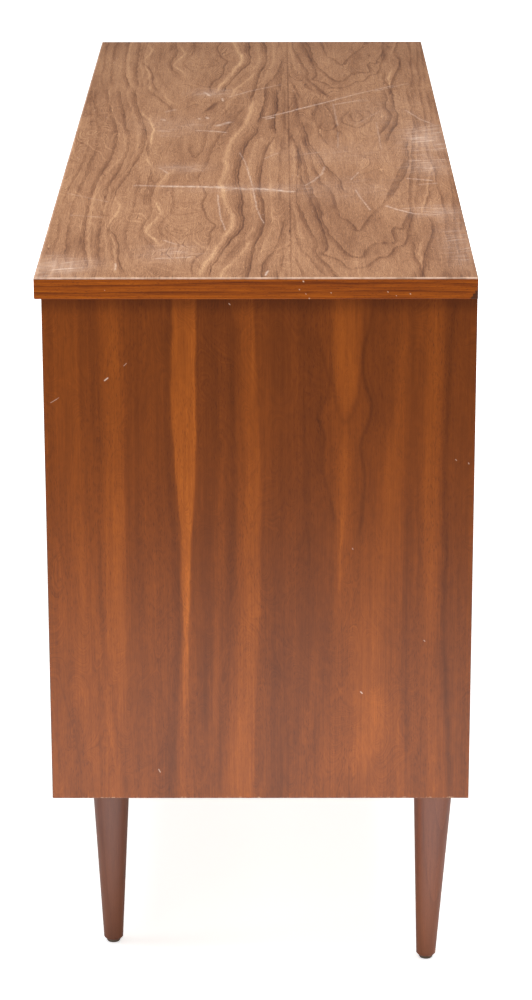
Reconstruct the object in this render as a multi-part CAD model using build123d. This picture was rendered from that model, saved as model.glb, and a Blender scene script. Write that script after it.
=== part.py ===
from build123d import *
import math
import os

os.makedirs("parts", exist_ok=True)

# Low console television cabinet on four turned legs.
# X runs along the cabinet (right-hand end, seen from the front, is +X), the front
# faces -Y, +Z is up and z = 0 is the floor. All lengths are in millimetres.
# Cutters run a little past the faces they open.

# ---------------------------------------------------------------- top slab
TOP_LENGTH = 1290.0
TOP_DEPTH = 420.0       # front edge to back edge
TOP_T = 21.0            # thickness with the laminate
LAMINATE_T = 1.6
BAND_T = 3.0            # solid edge banding, front and both ends
CORNER_R = 1.4          # front corners of the top
OVER_FRONT = 6.5        # overhang past the front edges of the end panels
OVER_END = 5.0          # overhang past each end panel

# ---------------------------------------------------------------- carcass
BODY_H = 512.0          # end panel height
BODY_LOW = 198.0        # floor to underside of the carcass
PANEL_T = 19.0          # end panels, rails and mullions
BOTTOM_T = 16.0
PARTITION_T = 12.0      # inner partitions and speaker baffles
FRONT_RECESS = 12.0     # front frame set back from the end panels' edges
RAIL_LOW = 40.0
RAIL_UP = 38.0
MULLION_W = 30.0
TV_BAY = 690.0          # clear width between the two mullions
COVER_T = 3.2           # hardboard back cover
COVER_RECESS = 3.8      # outer face of the cover inside the cabinet's back edge
RABBET_W = 8.0
CLEAT = 19.0            # square section of the cleats

# ---------------------------------------------------------------- legs
LEG_R_TOP = 19.8
LEG_R_BOTTOM = 9.9
PLATE_T = 3.0
PLATE_W = 50.0
PLATE_HOLE = 18.5       # plate screws from the leg centre, in X and in Y
GLIDE_H = 4.0
REAR_LEG_FROM_END = 52.0
REAR_LEG_FROM_BACK = 32.6
REAR_LEG_LEAN = 5.1     # the rear feet stand this much further forward than the leg tops
FRONT_LEG_FROM_END = 91.0
FRONT_LEG_FROM_FRONT = 53.5

# ---------------------------------------------------------------- picture tube and controls
TUBE_W, TUBE_H = 518.0, 413.0       # faceplate outline
TUBE_CORNER = 56.0
TUBE_R = 1000.0                     # face curvature
NECK_R = 18.2
GLASS_T = 4.0
CONTROL_W = 128.0
SHAFT_R = 3.0

# The construction datum has the body centred in depth. The tube-neck cup stands
# proud of the back by CUP_OUT, so every part moves forward by half of that and the
# origin is under the middle of the whole object.
CUP_OUT = 24.0
Y_SHIFT = -CUP_OUT / 2.0

# ---------------------------------------------------------------- derived places
TOP_X = TOP_LENGTH / 2.0
END_OUT = TOP_X - OVER_END              # outer face of an end panel
END_IN = END_OUT - PANEL_T              # inner face of an end panel
TOP_FRONT = -TOP_DEPTH / 2.0
END_FRONT = TOP_FRONT + OVER_FRONT      # front edge of the end panels
BACK = TOP_DEPTH / 2.0
BODY_TOP = BODY_LOW + BODY_H
TOP_Z = BODY_TOP + TOP_T
CORE_TOP = TOP_Z - LAMINATE_T
FRAME_FRONT = END_FRONT + FRONT_RECESS
FRAME_BACK = FRAME_FRONT + PANEL_T
COVER_OUT = BACK - COVER_RECESS         # outer face of the back cover
COVER_IN = COVER_OUT - COVER_T
FLOOR_Z = BODY_LOW + BOTTOM_T           # upper face of the bottom panel
OPEN_LOW = BODY_LOW + RAIL_LOW          # lower edge of the front openings
OPEN_TOP = BODY_TOP - RAIL_UP           # upper edge of the front openings
BAY_X = TV_BAY / 2.0                    # inner face of a mullion
SIDE_BAY_X = BAY_X + MULLION_W          # outer face of a mullion
PART_IN = BAY_X + 9.0                   # inner face of a partition
PART_OUT = PART_IN + PARTITION_T
WINDOW_W = TV_BAY - CONTROL_W
WINDOW_H = OPEN_TOP - OPEN_LOW
TUBE_X = -CONTROL_W / 2.0               # picture tube axis
TUBE_Z = (OPEN_LOW + OPEN_TOP) / 2.0
TUBE_LOW, TUBE_TOP = TUBE_Z - TUBE_H / 2, TUBE_Z + TUBE_H / 2
TUBE_FRONT = FRAME_FRONT + 21.5         # foremost point of the tube face
GLASS_FRONT = FRAME_FRONT + 7.5
MASK_FRONT = GLASS_FRONT + GLASS_T
CONTROL_X = BAY_X - CONTROL_W / 2.0     # control column centre line
PANEL_FRONT, PANEL_BACK = FRAME_FRONT + 3.5, FRAME_FRONT + 7.0
BRACKET_FRONT, BRACKET_BACK = FRAME_FRONT + 25.5, FRAME_FRONT + 27.0


# ---------------------------------------------------------------- helpers
def block(x0, x1, y0, y1, z0, z1):
    return Pos((x0 + x1) / 2, (y0 + y1) / 2, (z0 + z1) / 2) * Box(x1 - x0, y1 - y0, z1 - z0)


def rod_x(y, z, radius, x0, x1):
    return Pos((x0 + x1) / 2, y, z) * Rot(0, 90, 0) * Cylinder(radius, x1 - x0)


def rod_y(x, z, radius, y0, y1):
    return Pos(x, (y0 + y1) / 2, z) * Rot(90, 0, 0) * Cylinder(radius, y1 - y0)


def rod_z(x, y, radius, z0, z1):
    return Pos(x, y, (z0 + z1) / 2) * Cylinder(radius, z1 - z0)


def polygon(points):
    return Wire.make_polygon([Vector(*point) for point in points], close=True)


def turned_z(x, y, datum, points):
    """Turn (radius, height above datum) points about a vertical axis."""
    face = Face(polygon([(r, 0, datum + z) for r, z in points]))
    return Pos(x, y, 0) * revolve(face, Axis.Z, 360)


def turned_y(x, z, datum, points):
    """Turn (radius, distance behind datum) points about a front-to-back axis."""
    face = Face(polygon([(r, 0, -(datum + y)) for r, y in points]))
    return Pos(x, 0, z) * Rot(90, 0, 0) * revolve(face, Axis.Z, 360)


def front_plane(x, y, z):
    return Plane(origin=(x, y, z), x_dir=(1, 0, 0), z_dir=(0, -1, 0))


def prism_y(x, z, sketch, y0, y1):
    return extrude(front_plane(x, y0, z) * sketch, amount=y1 - y0, dir=(0, 1, 0))


def rounded_y(x, z, width, height, radius, y0, y1):
    return prism_y(x, z, RectangleRounded(width, height, radius), y0, y1)


def tube_ball(radius, front):
    """Ball on the tube axis whose centre is TUBE_R behind front."""
    return Pos(TUBE_X, front + TUBE_R, TUBE_Z) * Rot(90, 0, 0) * Sphere(radius)


def drill_y(shape, points, radius, y0, y1):
    for x, z in points:
        shape = shape - rod_y(x, z, radius, y0, y1)
    return shape


def screw_y(x, z, radius, tip, seat, head_r, head_end):
    return rod_y(x, z, radius, tip, seat) + rod_y(x, z, head_r, seat, head_end)


def ring(x, z, radius, angles):
    """Points on a circle in the X-Z plane, angles in degrees."""
    return [(x + radius * math.cos(math.radians(angle)),
             z + radius * math.sin(math.radians(angle))) for angle in angles]


def at_y(edges, y):
    return [edge for edge in edges if abs(edge.center().Y - y) < 0.01]


def one(shape):
    solids = shape.solids()
    assert len(solids) == 1, len(solids)
    return solids[0]


def write(name, *pieces):
    """Write single-solid pieces, moved onto the final origin, as one file."""
    solids = [Pos(0, Y_SHIFT, 0) * one(piece) for piece in pieces]
    whole = solids[0] if len(solids) == 1 else Compound(children=solids)
    export_step(whole, f"parts/{name}.step")


def both(make):
    """The left (-1) and right (+1) versions of a piece."""
    return [make(-1), make(1)]


def span(side, near, far):
    """The X range near..far on the right side, or its mirror on the left."""
    return (near, far) if side > 0 else (-far, -near)


# ---------------------------------------------------------------- legs and screws, places
FRONT_LEG_X = END_OUT - FRONT_LEG_FROM_END
FRONT_LEG_Y = END_FRONT + FRONT_LEG_FROM_FRONT
REAR_LEG_X = END_OUT - REAR_LEG_FROM_END
REAR_LEG_Y = BACK - REAR_LEG_FROM_BACK
LEGS = {  # name: x, y of the leg top, y of the foot
    "leg_front_left": (-FRONT_LEG_X, FRONT_LEG_Y, FRONT_LEG_Y),
    "leg_front_right": (FRONT_LEG_X, FRONT_LEG_Y, FRONT_LEG_Y),
    "leg_rear_left": (-REAR_LEG_X, REAR_LEG_Y, REAR_LEG_Y - REAR_LEG_LEAN),
    "leg_rear_right": (REAR_LEG_X, REAR_LEG_Y, REAR_LEG_Y - REAR_LEG_LEAN),
}


def plate_holes(x, y):
    return [(x + i * PLATE_HOLE, y + j * PLATE_HOLE) for i in (-1, 1) for j in (-1, 1)]


PLATE_SCREWS = [hole for x, y, _ in LEGS.values() for hole in plate_holes(x, y)]

# back cover screws (x, z)
UPPER_SCREWS = [(x, BODY_TOP - 9.5) for x in (-580, -300, -100, 100, 300, 580)]
LOWER_SCREWS = [(x, BODY_LOW + 8.0) for x in (-580, -420, -200, 0, 200, 420, 580)]
SIDE_SCREWS = [(side * (END_IN + 3.0), BODY_LOW + height)
               for side in (-1, 1) for height in (130.0, 380.0)]
COVER_SCREWS = UPPER_SCREWS + LOWER_SCREWS + SIDE_SCREWS
CUP_SCREWS = ring(TUBE_X, TUBE_Z, 58.0, (90, 210, 330))
PILOT_R, PILOT_DEPTH = 1.95, 16.0
CLEAR_R = 2.15                          # clearance holes in cover, cup and leg plates


def cover_pilots(shape, points):
    return drill_y(shape, points, PILOT_R, COVER_IN - PILOT_DEPTH, COVER_IN + 1)


# ================================================================ top
LAMINATE_BEVEL = 0.9
BAND_BEVEL = 0.7


def top_laminate():
    sheet = one(block(-TOP_X, TOP_X, TOP_FRONT, BACK, CORE_TOP, TOP_Z))
    corners = [edge for edge in sheet.edges().filter_by(Axis.Z) if edge.center().Y < 0]
    sheet = one(fillet(corners, CORNER_R))
    top_face = sheet.faces().sort_by(Axis.Z)[-1]
    rim = [edge for edge in top_face.edges() if not abs(edge.center().Y - BACK) < 0.01]
    return chamfer(rim, LAMINATE_BEVEL)


def front_band():
    band = one(block(-TOP_X + BAND_T, TOP_X - BAND_T,
                     TOP_FRONT, TOP_FRONT + BAND_T, BODY_TOP, CORE_TOP))
    low = [edge for edge in at_y(band.edges(), TOP_FRONT)
           if abs(edge.center().Z - BODY_TOP) < 0.01]
    return chamfer(low, BAND_BEVEL)


def end_band(side):
    band = one(block(*span(side, TOP_X - BAND_T, TOP_X), TOP_FRONT, BACK, BODY_TOP, CORE_TOP))
    outer = side * TOP_X
    inner = side * (TOP_X - BAND_T)
    corner = [edge for edge in band.edges().filter_by(Axis.Z)
              if abs(edge.center().X - outer) < 0.01 and edge.center().Y < 0]
    band = one(fillet(corner, CORNER_R))
    # the lower outer edge, round the front corner, but not the inner or back edges
    low = [edge for edge in band.faces().sort_by(Axis.Z)[0].edges()
           if (abs(edge.center().X - outer) < 1.5 or abs(edge.center().Y - TOP_FRONT) < 1.0)
           and abs(edge.center().X - inner) > 0.01
           and abs(edge.center().Y - BACK) > 0.01]
    return chamfer(low, BAND_BEVEL)


write("top_core", block(-TOP_X + BAND_T, TOP_X - BAND_T,
                        TOP_FRONT + BAND_T, BACK, BODY_TOP, CORE_TOP))
write("top_laminate", top_laminate())
write("top_edge_bands", front_band(), *both(end_band))

# ================================================================ carcass panels
FRAME_BEVEL = 0.8
WIRE_Y, WIRE_Z = 40.0, FLOOR_Z + 12.0   # speaker leads through the partitions


def end_panel(side):
    panel = one(block(*span(side, END_IN, END_OUT), END_FRONT, BACK, BODY_LOW, BODY_TOP))
    panel = one(fillet(at_y(panel.edges().filter_by(Axis.Z), END_FRONT), 1.2))
    panel = panel - block(*span(side, END_IN - 1, END_IN + RABBET_W + 0.5),
                          COVER_IN, BACK + 1, BODY_LOW - 1, BODY_TOP + 1)
    return cover_pilots(panel, [(x, z) for x, z in SIDE_SCREWS if x * side > 0])


def bottom_panel():
    panel = block(-END_IN, END_IN, FRAME_BACK, COVER_IN, BODY_LOW, FLOOR_Z)
    for x, y, _ in LEGS.values():
        panel = panel - rod_z(x, y, 6.0, BODY_LOW - 1, BODY_LOW + 8)
    for x, y in PLATE_SCREWS:
        panel = panel - rod_z(x, y, 2.05, BODY_LOW - 1, BODY_LOW + 13)
    return cover_pilots(panel, LOWER_SCREWS)


def lower_rail():
    rail = block(-END_IN, END_IN, FRAME_FRONT, FRAME_BACK, BODY_LOW, OPEN_LOW)
    return chamfer(at_y(rail.edges().filter_by(Axis.X), FRAME_FRONT), FRAME_BEVEL)


def upper_rail():
    rail = block(-END_IN, END_IN, FRAME_FRONT, FRAME_BACK, OPEN_TOP, BODY_TOP)
    front = at_y(rail.edges().filter_by(Axis.X), FRAME_FRONT)
    return chamfer([edge for edge in front if edge.center().Z < BODY_TOP - 1], FRAME_BEVEL)


def mullion(side):
    post = one(block(*span(side, BAY_X, SIDE_BAY_X), FRAME_FRONT, FRAME_BACK,
                     OPEN_LOW, OPEN_TOP))
    return chamfer(at_y(post.edges().filter_by(Axis.Z), FRAME_FRONT), FRAME_BEVEL)


def partition(side):
    board = block(*span(side, PART_IN, PART_OUT), FRAME_BACK, COVER_IN, FLOOR_Z, BODY_TOP)
    return board - rod_x(WIRE_Y, WIRE_Z, 5.0, *span(side, PART_IN - 1, PART_OUT + 1))


write("end_panel_left", end_panel(-1))
write("end_panel_right", end_panel(1))
write("bottom_panel", bottom_panel())
write("front_rails", lower_rail(), upper_rail())
write("front_mullions", *both(mullion))
write("partitions", *both(partition))

# ================================================================ cleats and tube blocks
EAR_Y = FRAME_BACK + 60.5               # face the tube's ears bear on
EAR_X = (TUBE_X - 200.0, TUBE_X + 200.0)
EAR_TOP = TUBE_TOP + 25.0               # ear screw heights
EAR_LOW = TUBE_LOW - 19.0


def side_cleat(side, z):
    return block(*span(side, END_IN - CLEAT, END_IN), FRAME_BACK + 22, COVER_IN, z, z + CLEAT)


def back_cleat(x0, x1):
    cleat = block(x0, x1, COVER_IN - CLEAT, COVER_IN, BODY_TOP - CLEAT, BODY_TOP)
    return cover_pilots(cleat, [(x, z) for x, z in UPPER_SCREWS if x0 < x < x1])


def ear_block(x, hole_z, z0, z1):
    bearer = block(x - 18, x + 18, FRAME_BACK, EAR_Y, z0, z1)
    return bearer - rod_y(x, hole_z, 3.05, EAR_Y - 40, EAR_Y + 1)


def cleats_and_blocks():
    pieces = []
    for side in (-1, 1):
        pieces.append(side_cleat(side, BODY_TOP - CLEAT))
        pieces.append(side_cleat(side, FLOOR_Z))
        pieces.append(back_cleat(*span(side, PART_OUT, END_IN - CLEAT)))
    pieces.append(back_cleat(-PART_IN, PART_IN))
    for x in EAR_X:
        pieces.append(ear_block(x, EAR_TOP, EAR_TOP - 11, EAR_TOP + 13))
        pieces.append(ear_block(x, EAR_LOW, FLOOR_Z, TUBE_LOW - 4.5))
    return pieces


write("cleats_and_blocks", *cleats_and_blocks())

# ================================================================ back cover
CUP_R = 50.0
CUP_DEPTH = COVER_RECESS + CUP_OUT      # back of the cup from the cover's outer face
SPEAKER_VENT_X = 494
INLET_X, INLET_Z = 190, BODY_LOW + 56


def slot(x, z, width, height):
    return (Pos(x, z) * SlotOverall(height, width, rotation=90)).wire()


def back_cover():
    half = END_IN + RABBET_W
    low, high = BODY_LOW + 4, BODY_TOP - 2
    outline = polygon([(-half, low), (half, low), (half, high), (-half, high)])
    holes = []
    # one row of slots along the top, one along the bottom broken at the mains inlet
    for i in range(-16, 17):
        x = i * 20.0
        holes.append(slot(x, BODY_TOP - 58, 7, 44))
        if abs(x - INLET_X) > 38:
            holes.append(slot(x, INLET_Z, 7, 40))
    # three rows of slots behind each speaker
    for side in (-1, 1):
        for i in range(-4, 5):
            for k in range(3):
                x = side * SPEAKER_VENT_X + i * 22.0
                holes.append(slot(x, BODY_LOW + 160 + k * 66.0, 8, 46))
    holes.append((Pos(TUBE_X, TUBE_Z) * Circle(CUP_R)).wire())
    for x, z in COVER_SCREWS + CUP_SCREWS:
        holes.append((Pos(x, z) * Circle(CLEAR_R)).wire())
    return prism_y(0, 0, Face(outline, holes), COVER_IN, COVER_OUT)


def neck_cup():
    cup = turned_y(TUBE_X, TUBE_Z, COVER_OUT, [
        (CUP_R - 0.4, 0), (66, 0), (66, 1.4), (52, 1.4), (49.5, CUP_DEPTH - 2.5),
        (47, CUP_DEPTH), (0, CUP_DEPTH), (0, CUP_DEPTH - 1.4), (46, CUP_DEPTH - 1.4),
        (48.0, CUP_DEPTH - 3.4)])
    end = BACK + CUP_OUT
    for k in range(-3, 4):
        height = 56.0 - abs(k) * 9
        cup = cup - rounded_y(TUBE_X + k * 11.0, TUBE_Z, 5.0, height, 2.4, end - 8, end + 2)
    return drill_y(cup, CUP_SCREWS, CLEAR_R, COVER_OUT - 1, COVER_OUT + 4)


def cover_screw(x, z):
    """Hexagon head on a washer flange."""
    screw = screw_y(x, z, 1.85, COVER_IN - 14, COVER_OUT, 5.2, COVER_OUT + 0.9)
    return screw + prism_y(x, z, RegularPolygon(3.9, 6), COVER_OUT + 0.8, COVER_OUT + 3.4)


def cup_screw(x, z):
    return screw_y(x, z, 1.85, COVER_IN - 3, COVER_OUT + 1.4, 4.2, COVER_OUT + 3.0)


write("back_cover", back_cover())
write("crt_neck_cover", neck_cup())
write("back_cover_screws", *[cover_screw(x, z) for x, z in COVER_SCREWS],
      *[cup_screw(x, z) for x, z in CUP_SCREWS])

# ================================================================ legs
LEG_TOP = BODY_LOW - PLATE_T
TOE_TOP = GLIDE_H + 1.6                 # bevel round the foot ends here
BROW_LOW = LEG_TOP - 0.6                # bevel round the leg top starts here

GLIDE_PROFILE = [  # radius, height above the floor
    (0, 0), (5.4, 0), (6.4, 0.5), (7.0, 1.5), (7.0, 3.2), (6.6, GLIDE_H),
    (1.4, GLIDE_H), (1.4, GLIDE_H + 12.5), (0, GLIDE_H + 14.5)]
PLATE_SCREW_PROFILE = [  # radius, height above the plate's underside
    (0, -2.2), (2.4, -2.2), (3.8, -1.0), (3.8, 0), (2.0, 0), (2.0, PLATE_T + 10),
    (0, PLATE_T + 12.5)]


def disc(x, y, z, radius):
    return Plane(origin=(x, y, z)) * Circle(radius)


def leg(x, y, foot_y):
    shaft = loft([disc(x, foot_y, TOE_TOP, LEG_R_BOTTOM), disc(x, y, BROW_LOW, LEG_R_TOP)])
    toe = loft([disc(x, foot_y, GLIDE_H, LEG_R_BOTTOM - 1.4),
                disc(x, foot_y, TOE_TOP, LEG_R_BOTTOM)])
    brow = loft([disc(x, y, BROW_LOW, LEG_R_TOP), disc(x, y, LEG_TOP, LEG_R_TOP - 0.6)])
    body = shaft + toe + brow
    body = body - rod_z(x, foot_y, 1.45, GLIDE_H - 1, GLIDE_H + 15)
    return body - rod_z(x, y, 4.1, LEG_TOP - 38, LEG_TOP + 1)


def leg_plate(x, y):
    half = PLATE_W / 2
    plate = block(x - half, x + half, y - half, y + half, LEG_TOP, BODY_LOW)
    plate = fillet(plate.edges().filter_by(Axis.Z), 6.0)
    plate = plate - rod_z(x, y, 4.1, LEG_TOP - 1, BODY_LOW + 1)
    for hole_x, hole_y in plate_holes(x, y):
        plate = plate - rod_z(hole_x, hole_y, CLEAR_R, LEG_TOP - 1, BODY_LOW + 1)
    return plate


def hanger_bolt(x, y):
    return chamfer(rod_z(x, y, 4.0, LEG_TOP - 36, BODY_LOW + 7).edges(), 0.8)


for name, place in LEGS.items():
    write(name, leg(*place))
write("leg_plates", *[leg_plate(x, y) for x, y, _ in LEGS.values()])
write("leg_hanger_bolts", *[hanger_bolt(x, y) for x, y, _ in LEGS.values()])
write("leg_glides", *[turned_z(x, foot_y, 0, GLIDE_PROFILE) for x, _, foot_y in LEGS.values()])
plate_screws = [turned_z(x, y, LEG_TOP, PLATE_SCREW_PROFILE) for x, y in PLATE_SCREWS]

# ================================================================ speakers
SPEAKER_X = (SIDE_BAY_X + END_IN) / 2.0
WOOFER_Z, TWEETER_Z = BODY_LOW + 185.0, BODY_LOW + 375.0
BAFFLE_FRONT, BAFFLE_BACK = FRAME_BACK, FRAME_BACK + PARTITION_T
SLATS = 10                              # per side
SLAT_HALF = 4.5

# Speaker profiles: radius, distance behind the baffle's back face.
BASKET_PROFILE = [
    (86, 0), (101, 0), (101, 3), (93.4, 3), (91.8, 12), (52, 52), (50, 58.5),
    (15, 58.5), (15, 56.5), (48, 56.5), (50, 51.2), (89.6, 11.2), (90.5, 3), (86, 3)]
CONE_PROFILE = [
    (0, 40.0), (14, 45.0), (80, -1.4), (83, -3.3), (87, -3.3), (89, -1.4), (91.5, -1.2),
    (91.5, 0), (88.2, 0), (86.4, -2.1), (83.6, -2.1), (81, -0.3), (14.4, 46.6), (0, 41.5)]
MAGNET_PROFILE = [
    (0, 58.5), (34, 58.5), (34, 62.5), (40, 62.5), (40, 80), (36, 80), (36, 84), (0, 84)]
TWEETER_PROFILE = [
    (0, 12), (6, 14), (30, -1.0), (34, -2.2), (38, 0), (49, 0), (49, 2), (40, 2),
    (36, 8), (24, 30), (24, 46), (0, 46)]


def woofer_screws(side):
    return ring(side * SPEAKER_X, WOOFER_Z, 97, (45, 135, 225, 315))


def tweeter_screws(side):
    return ring(side * SPEAKER_X, TWEETER_Z, 45, (0, 90, 180, 270))


def baffle(side):
    front, back = BAFFLE_FRONT, BAFFLE_BACK
    board = block(*span(side, PART_OUT + 0.3, END_IN - 0.3), front, back,
                  FLOOR_Z + 0.5, BODY_TOP - 0.5)
    board = board - rod_y(side * SPEAKER_X, WOOFER_Z, 92, front - 1, back + 1)
    board = board - rod_y(side * SPEAKER_X, TWEETER_Z, 40, front - 1, back + 1)
    screws = woofer_screws(side) + tweeter_screws(side)
    return drill_y(board, screws, 1.75, back - 10, back + 1)


def grille_cloth(side):
    return block(*span(side, SIDE_BAY_X + 0.3, END_IN - 0.3), BAFFLE_FRONT - 1.2, BAFFLE_FRONT,
                 OPEN_LOW + 0.3, OPEN_TOP - 0.3)


def grille_slat(side, number):
    x = side * (SIDE_BAY_X + (END_IN - SIDE_BAY_X) * number / (SLATS + 1.0))
    slat = one(block(x - SLAT_HALF, x + SLAT_HALF, FRAME_FRONT + 2.0, FRAME_FRONT + 15.5,
                     OPEN_LOW, OPEN_TOP))
    front = [edge for edge in slat.edges().filter_by(Axis.Z)
             if edge.center().Y < FRAME_FRONT + 5]
    return fillet(front, 1.6)


def speaker_part(side, z, profile):
    return turned_y(side * SPEAKER_X, z, BAFFLE_BACK, profile)


def basket(side):
    frame = speaker_part(side, WOOFER_Z, BASKET_PROFILE)
    for k in range(4):
        window = Pos(72, BAFFLE_BACK + 32, 0) * Box(62, 26, 62)
        frame = frame - Pos(side * SPEAKER_X, 0, WOOFER_Z) * Rot(0, 45 + 90 * k, 0) * window
    return drill_y(frame, woofer_screws(side), 1.9, BAFFLE_BACK - 1, BAFFLE_BACK + 4)


def tweeter(side):
    body = speaker_part(side, TWEETER_Z, TWEETER_PROFILE)
    return drill_y(body, tweeter_screws(side), 1.9, BAFFLE_BACK - 1, BAFFLE_BACK + 4)


def speaker_screws():
    back = BAFFLE_BACK
    screws = []
    for side in (-1, 1):
        for x, z in woofer_screws(side):
            screws.append(screw_y(x, z, 1.7, back - 9, back + 3, 3.4, back + 5))
        for x, z in tweeter_screws(side):
            screws.append(screw_y(x, z, 1.7, back - 9, back + 2, 3.2, back + 4))
    return screws


write("speaker_baffles", *both(baffle))
write("grille_cloths", *both(grille_cloth))
write("grille_slats", *[grille_slat(side, i) for side in (-1, 1) for i in range(1, SLATS + 1)])
write("woofer_baskets", *both(basket))
write("woofer_cones", *both(lambda side: speaker_part(side, WOOFER_Z, CONE_PROFILE)))
write("woofer_magnets", *both(lambda side: speaker_part(side, WOOFER_Z, MAGNET_PROFILE)))
write("tweeters", *both(tweeter))

# ================================================================ picture window
def tube_rounded(width, height, radius, y0, y1):
    """Rounded rectangular prism on the tube axis."""
    return rounded_y(TUBE_X, TUBE_Z, width, height, radius, y0, y1)


def screen_trim():
    front = FRAME_FRONT + 1.0
    trim = tube_rounded(WINDOW_W - 1.0, WINDOW_H - 1.0, 5.0, front, GLASS_FRONT)
    trim = trim - tube_rounded(WINDOW_W - 17.0, WINDOW_H - 17.0, 9.0,
                               FRAME_FRONT - 1, GLASS_FRONT + 1)
    return chamfer(at_y(one(trim).edges(), front), 1.2)


def mask_horn(grow, depth0, depth1):
    """Tapered rounded block, grow larger than the mask's opening."""
    ends = [(484, 378, 50, depth0), (472, 366, 44.5, depth1)]
    return loft([front_plane(TUBE_X, MASK_FRONT + depth, TUBE_Z)
                 * RectangleRounded(width + grow, height + grow, radius + grow / 2)
                 for width, height, radius, depth in ends])


def picture_mask():
    plate = tube_rounded(WINDOW_W - 4, WINDOW_H - 4, 4.0, MASK_FRONT, MASK_FRONT + 2.5)
    plate = plate - tube_rounded(484, 378, 50, MASK_FRONT - 1, MASK_FRONT + 4)
    collar = mask_horn(5, 0.5, 62) - mask_horn(0, 0.4, 62.2)
    # the tube face, with 1.5 clearance, trims the collar
    return plate + collar - tube_ball(TUBE_R + 1.5, TUBE_FRONT)


write("screen_trim", screen_trim())
write("safety_glass", tube_rounded(WINDOW_W - 4, WINDOW_H - 4, 4.0, GLASS_FRONT, MASK_FRONT))
write("picture_mask", picture_mask())

# ================================================================ picture tube
SKIRT = TUBE_FRONT + 78.0               # back edge of the faceplate
FACE_T = 10.0
NECK_LENGTH_END = 268.0
NECK_END = SKIRT + NECK_LENGTH_END

FUNNEL = [  # distance behind the skirt, half width, half height, squareness
    (0.0, 256.0, 203.5, 5.0), (22.0, 236.0, 190.0, 4.2), (52.0, 198.0, 162.0, 3.4),
    (82.0, 150.0, 127.0, 2.7), (112.0, 102.0, 92.0, 2.25), (142.0, 55.0, 55.0, 2.0),
    (168.0, NECK_R, NECK_R, 2.0), (NECK_LENGTH_END, NECK_R, NECK_R, 2.0)]
YOKE_FRONT = SKIRT + 154.0
YOKE_PROFILE = [  # radius, distance behind the yoke's front
    (41.5, 0), (57, 0), (57, 5), (41, 20), (41, 42), (31, 52), (19.6, 52), (19.6, 17.5)]
SOCKET_PROFILE = [  # radius, distance behind the neck's end
    (0, 0), (17.5, 0), (19.5, 2), (19.5, 12), (16, 15), (0, 15)]


def faceplate():
    front = TUBE_FRONT - 2
    outside = (tube_rounded(TUBE_W, TUBE_H, TUBE_CORNER, front, SKIRT)
               & tube_ball(TUBE_R, TUBE_FRONT))
    inside = (tube_rounded(TUBE_W - 2 * FACE_T, TUBE_H - 2 * FACE_T, TUBE_CORNER - FACE_T,
                           front, SKIRT + 1)
              & tube_ball(TUBE_R - FACE_T, TUBE_FRONT))
    return outside - inside


def superellipse(y, half_width, half_height, squareness, count=40):
    points = []
    power = 2 / squareness
    for k in range(count):
        angle = 2 * math.pi * k / count
        cosine, sine = math.cos(angle), math.sin(angle)
        points.append(Vector(
            TUBE_X + half_width * math.copysign(abs(cosine) ** power, cosine), y,
            TUBE_Z + half_height * math.copysign(abs(sine) ** power, sine)))
    return Face(Wire([Edge.make_spline(points, periodic=True)])).outer_wire()


def funnel_body(wall, neck_wall):
    """Funnel and neck, smaller than the outside by the wall thickness."""
    wires = []
    for y, half_width, half_height, squareness in FUNNEL:
        inset = wall if y < 150 else neck_wall
        wires.append(superellipse(SKIRT + y, half_width - inset, half_height - inset, squareness))
    return Solid.make_loft(wires, True)


def rim_strap():
    strap = tube_rounded(TUBE_W + 3.4, TUBE_H + 3.4, TUBE_CORNER + 1.7, EAR_Y, EAR_Y + 16)
    strap = strap - tube_rounded(TUBE_W + 0.3, TUBE_H + 0.3, TUBE_CORNER + 0.15,
                                 EAR_Y - 1, EAR_Y + 17)
    ears = [(EAR_TOP, TUBE_TOP + 0.8, EAR_TOP + 10), (EAR_LOW, EAR_LOW - 10, TUBE_LOW - 0.8)]
    for x in EAR_X:
        for hole_z, z0, z1 in ears:
            strap = strap + block(x - 15, x + 15, EAR_Y, EAR_Y + 2, z0, z1)
            strap = strap - rod_y(x, hole_z, 3.2, EAR_Y - 1, EAR_Y + 3)
    return strap


def ear_screw(x, z):
    shank = rod_y(x, z, 3.0, EAR_Y - 38, EAR_Y + 2)
    return shank + prism_y(x, z, RegularPolygon(5.4, 6), EAR_Y + 2, EAR_Y + 6)


write("crt_faceplate", faceplate())
write("crt_funnel", funnel_body(0, 0) - funnel_body(4.5, 2.2))
write("crt_rim_strap", rim_strap())
write("deflection_yoke", turned_y(TUBE_X, TUBE_Z, YOKE_FRONT, YOKE_PROFILE))
write("crt_socket", turned_y(TUBE_X, TUBE_Z, NECK_END, SOCKET_PROFILE))
ear_screws = [ear_screw(x, z) for x in EAR_X for z in (EAR_TOP, EAR_LOW)]

# ================================================================ control column
VHF = (CONTROL_X, BODY_LOW + 403.0)
UHF = (CONTROL_X, BODY_LOW + 303.0)
LAMP_Z = BODY_LOW + 65.0
KNOB_OFFSET = 27.0                      # small knobs either side of the centre line
KNOB_BACK = PANEL_FRONT - 2.5           # back face of every large knob and small knob
HOLLOW_IN, HOLLOW_OUT = 3.1, 4.7        # radii of the hollow selector shaft
SHEET_T = 1.2                           # tuner and cage sheet

KNOB_ROWS = [  # left knob, right knob, height, radius, length, flutes
    ("volume_knob", "tone_knob", 220.0, 16.0, 15.0, 24),
    ("brightness_knob", "contrast_knob", 162.0, 12.0, 12.5, 20),
    ("vertical_hold_knob", "horizontal_hold_knob", 110.0, 12.0, 12.5, 20)]
KNOBS = {}  # name: x, z, radius, length, flutes
for left, right, height, *sizes in KNOB_ROWS:
    KNOBS[left] = (CONTROL_X - KNOB_OFFSET, BODY_LOW + height, *sizes)
    KNOBS[right] = (CONTROL_X + KNOB_OFFSET, BODY_LOW + height, *sizes)
POT_CENTRES = [(x, z) for x, z, *_ in KNOBS.values()]


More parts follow.
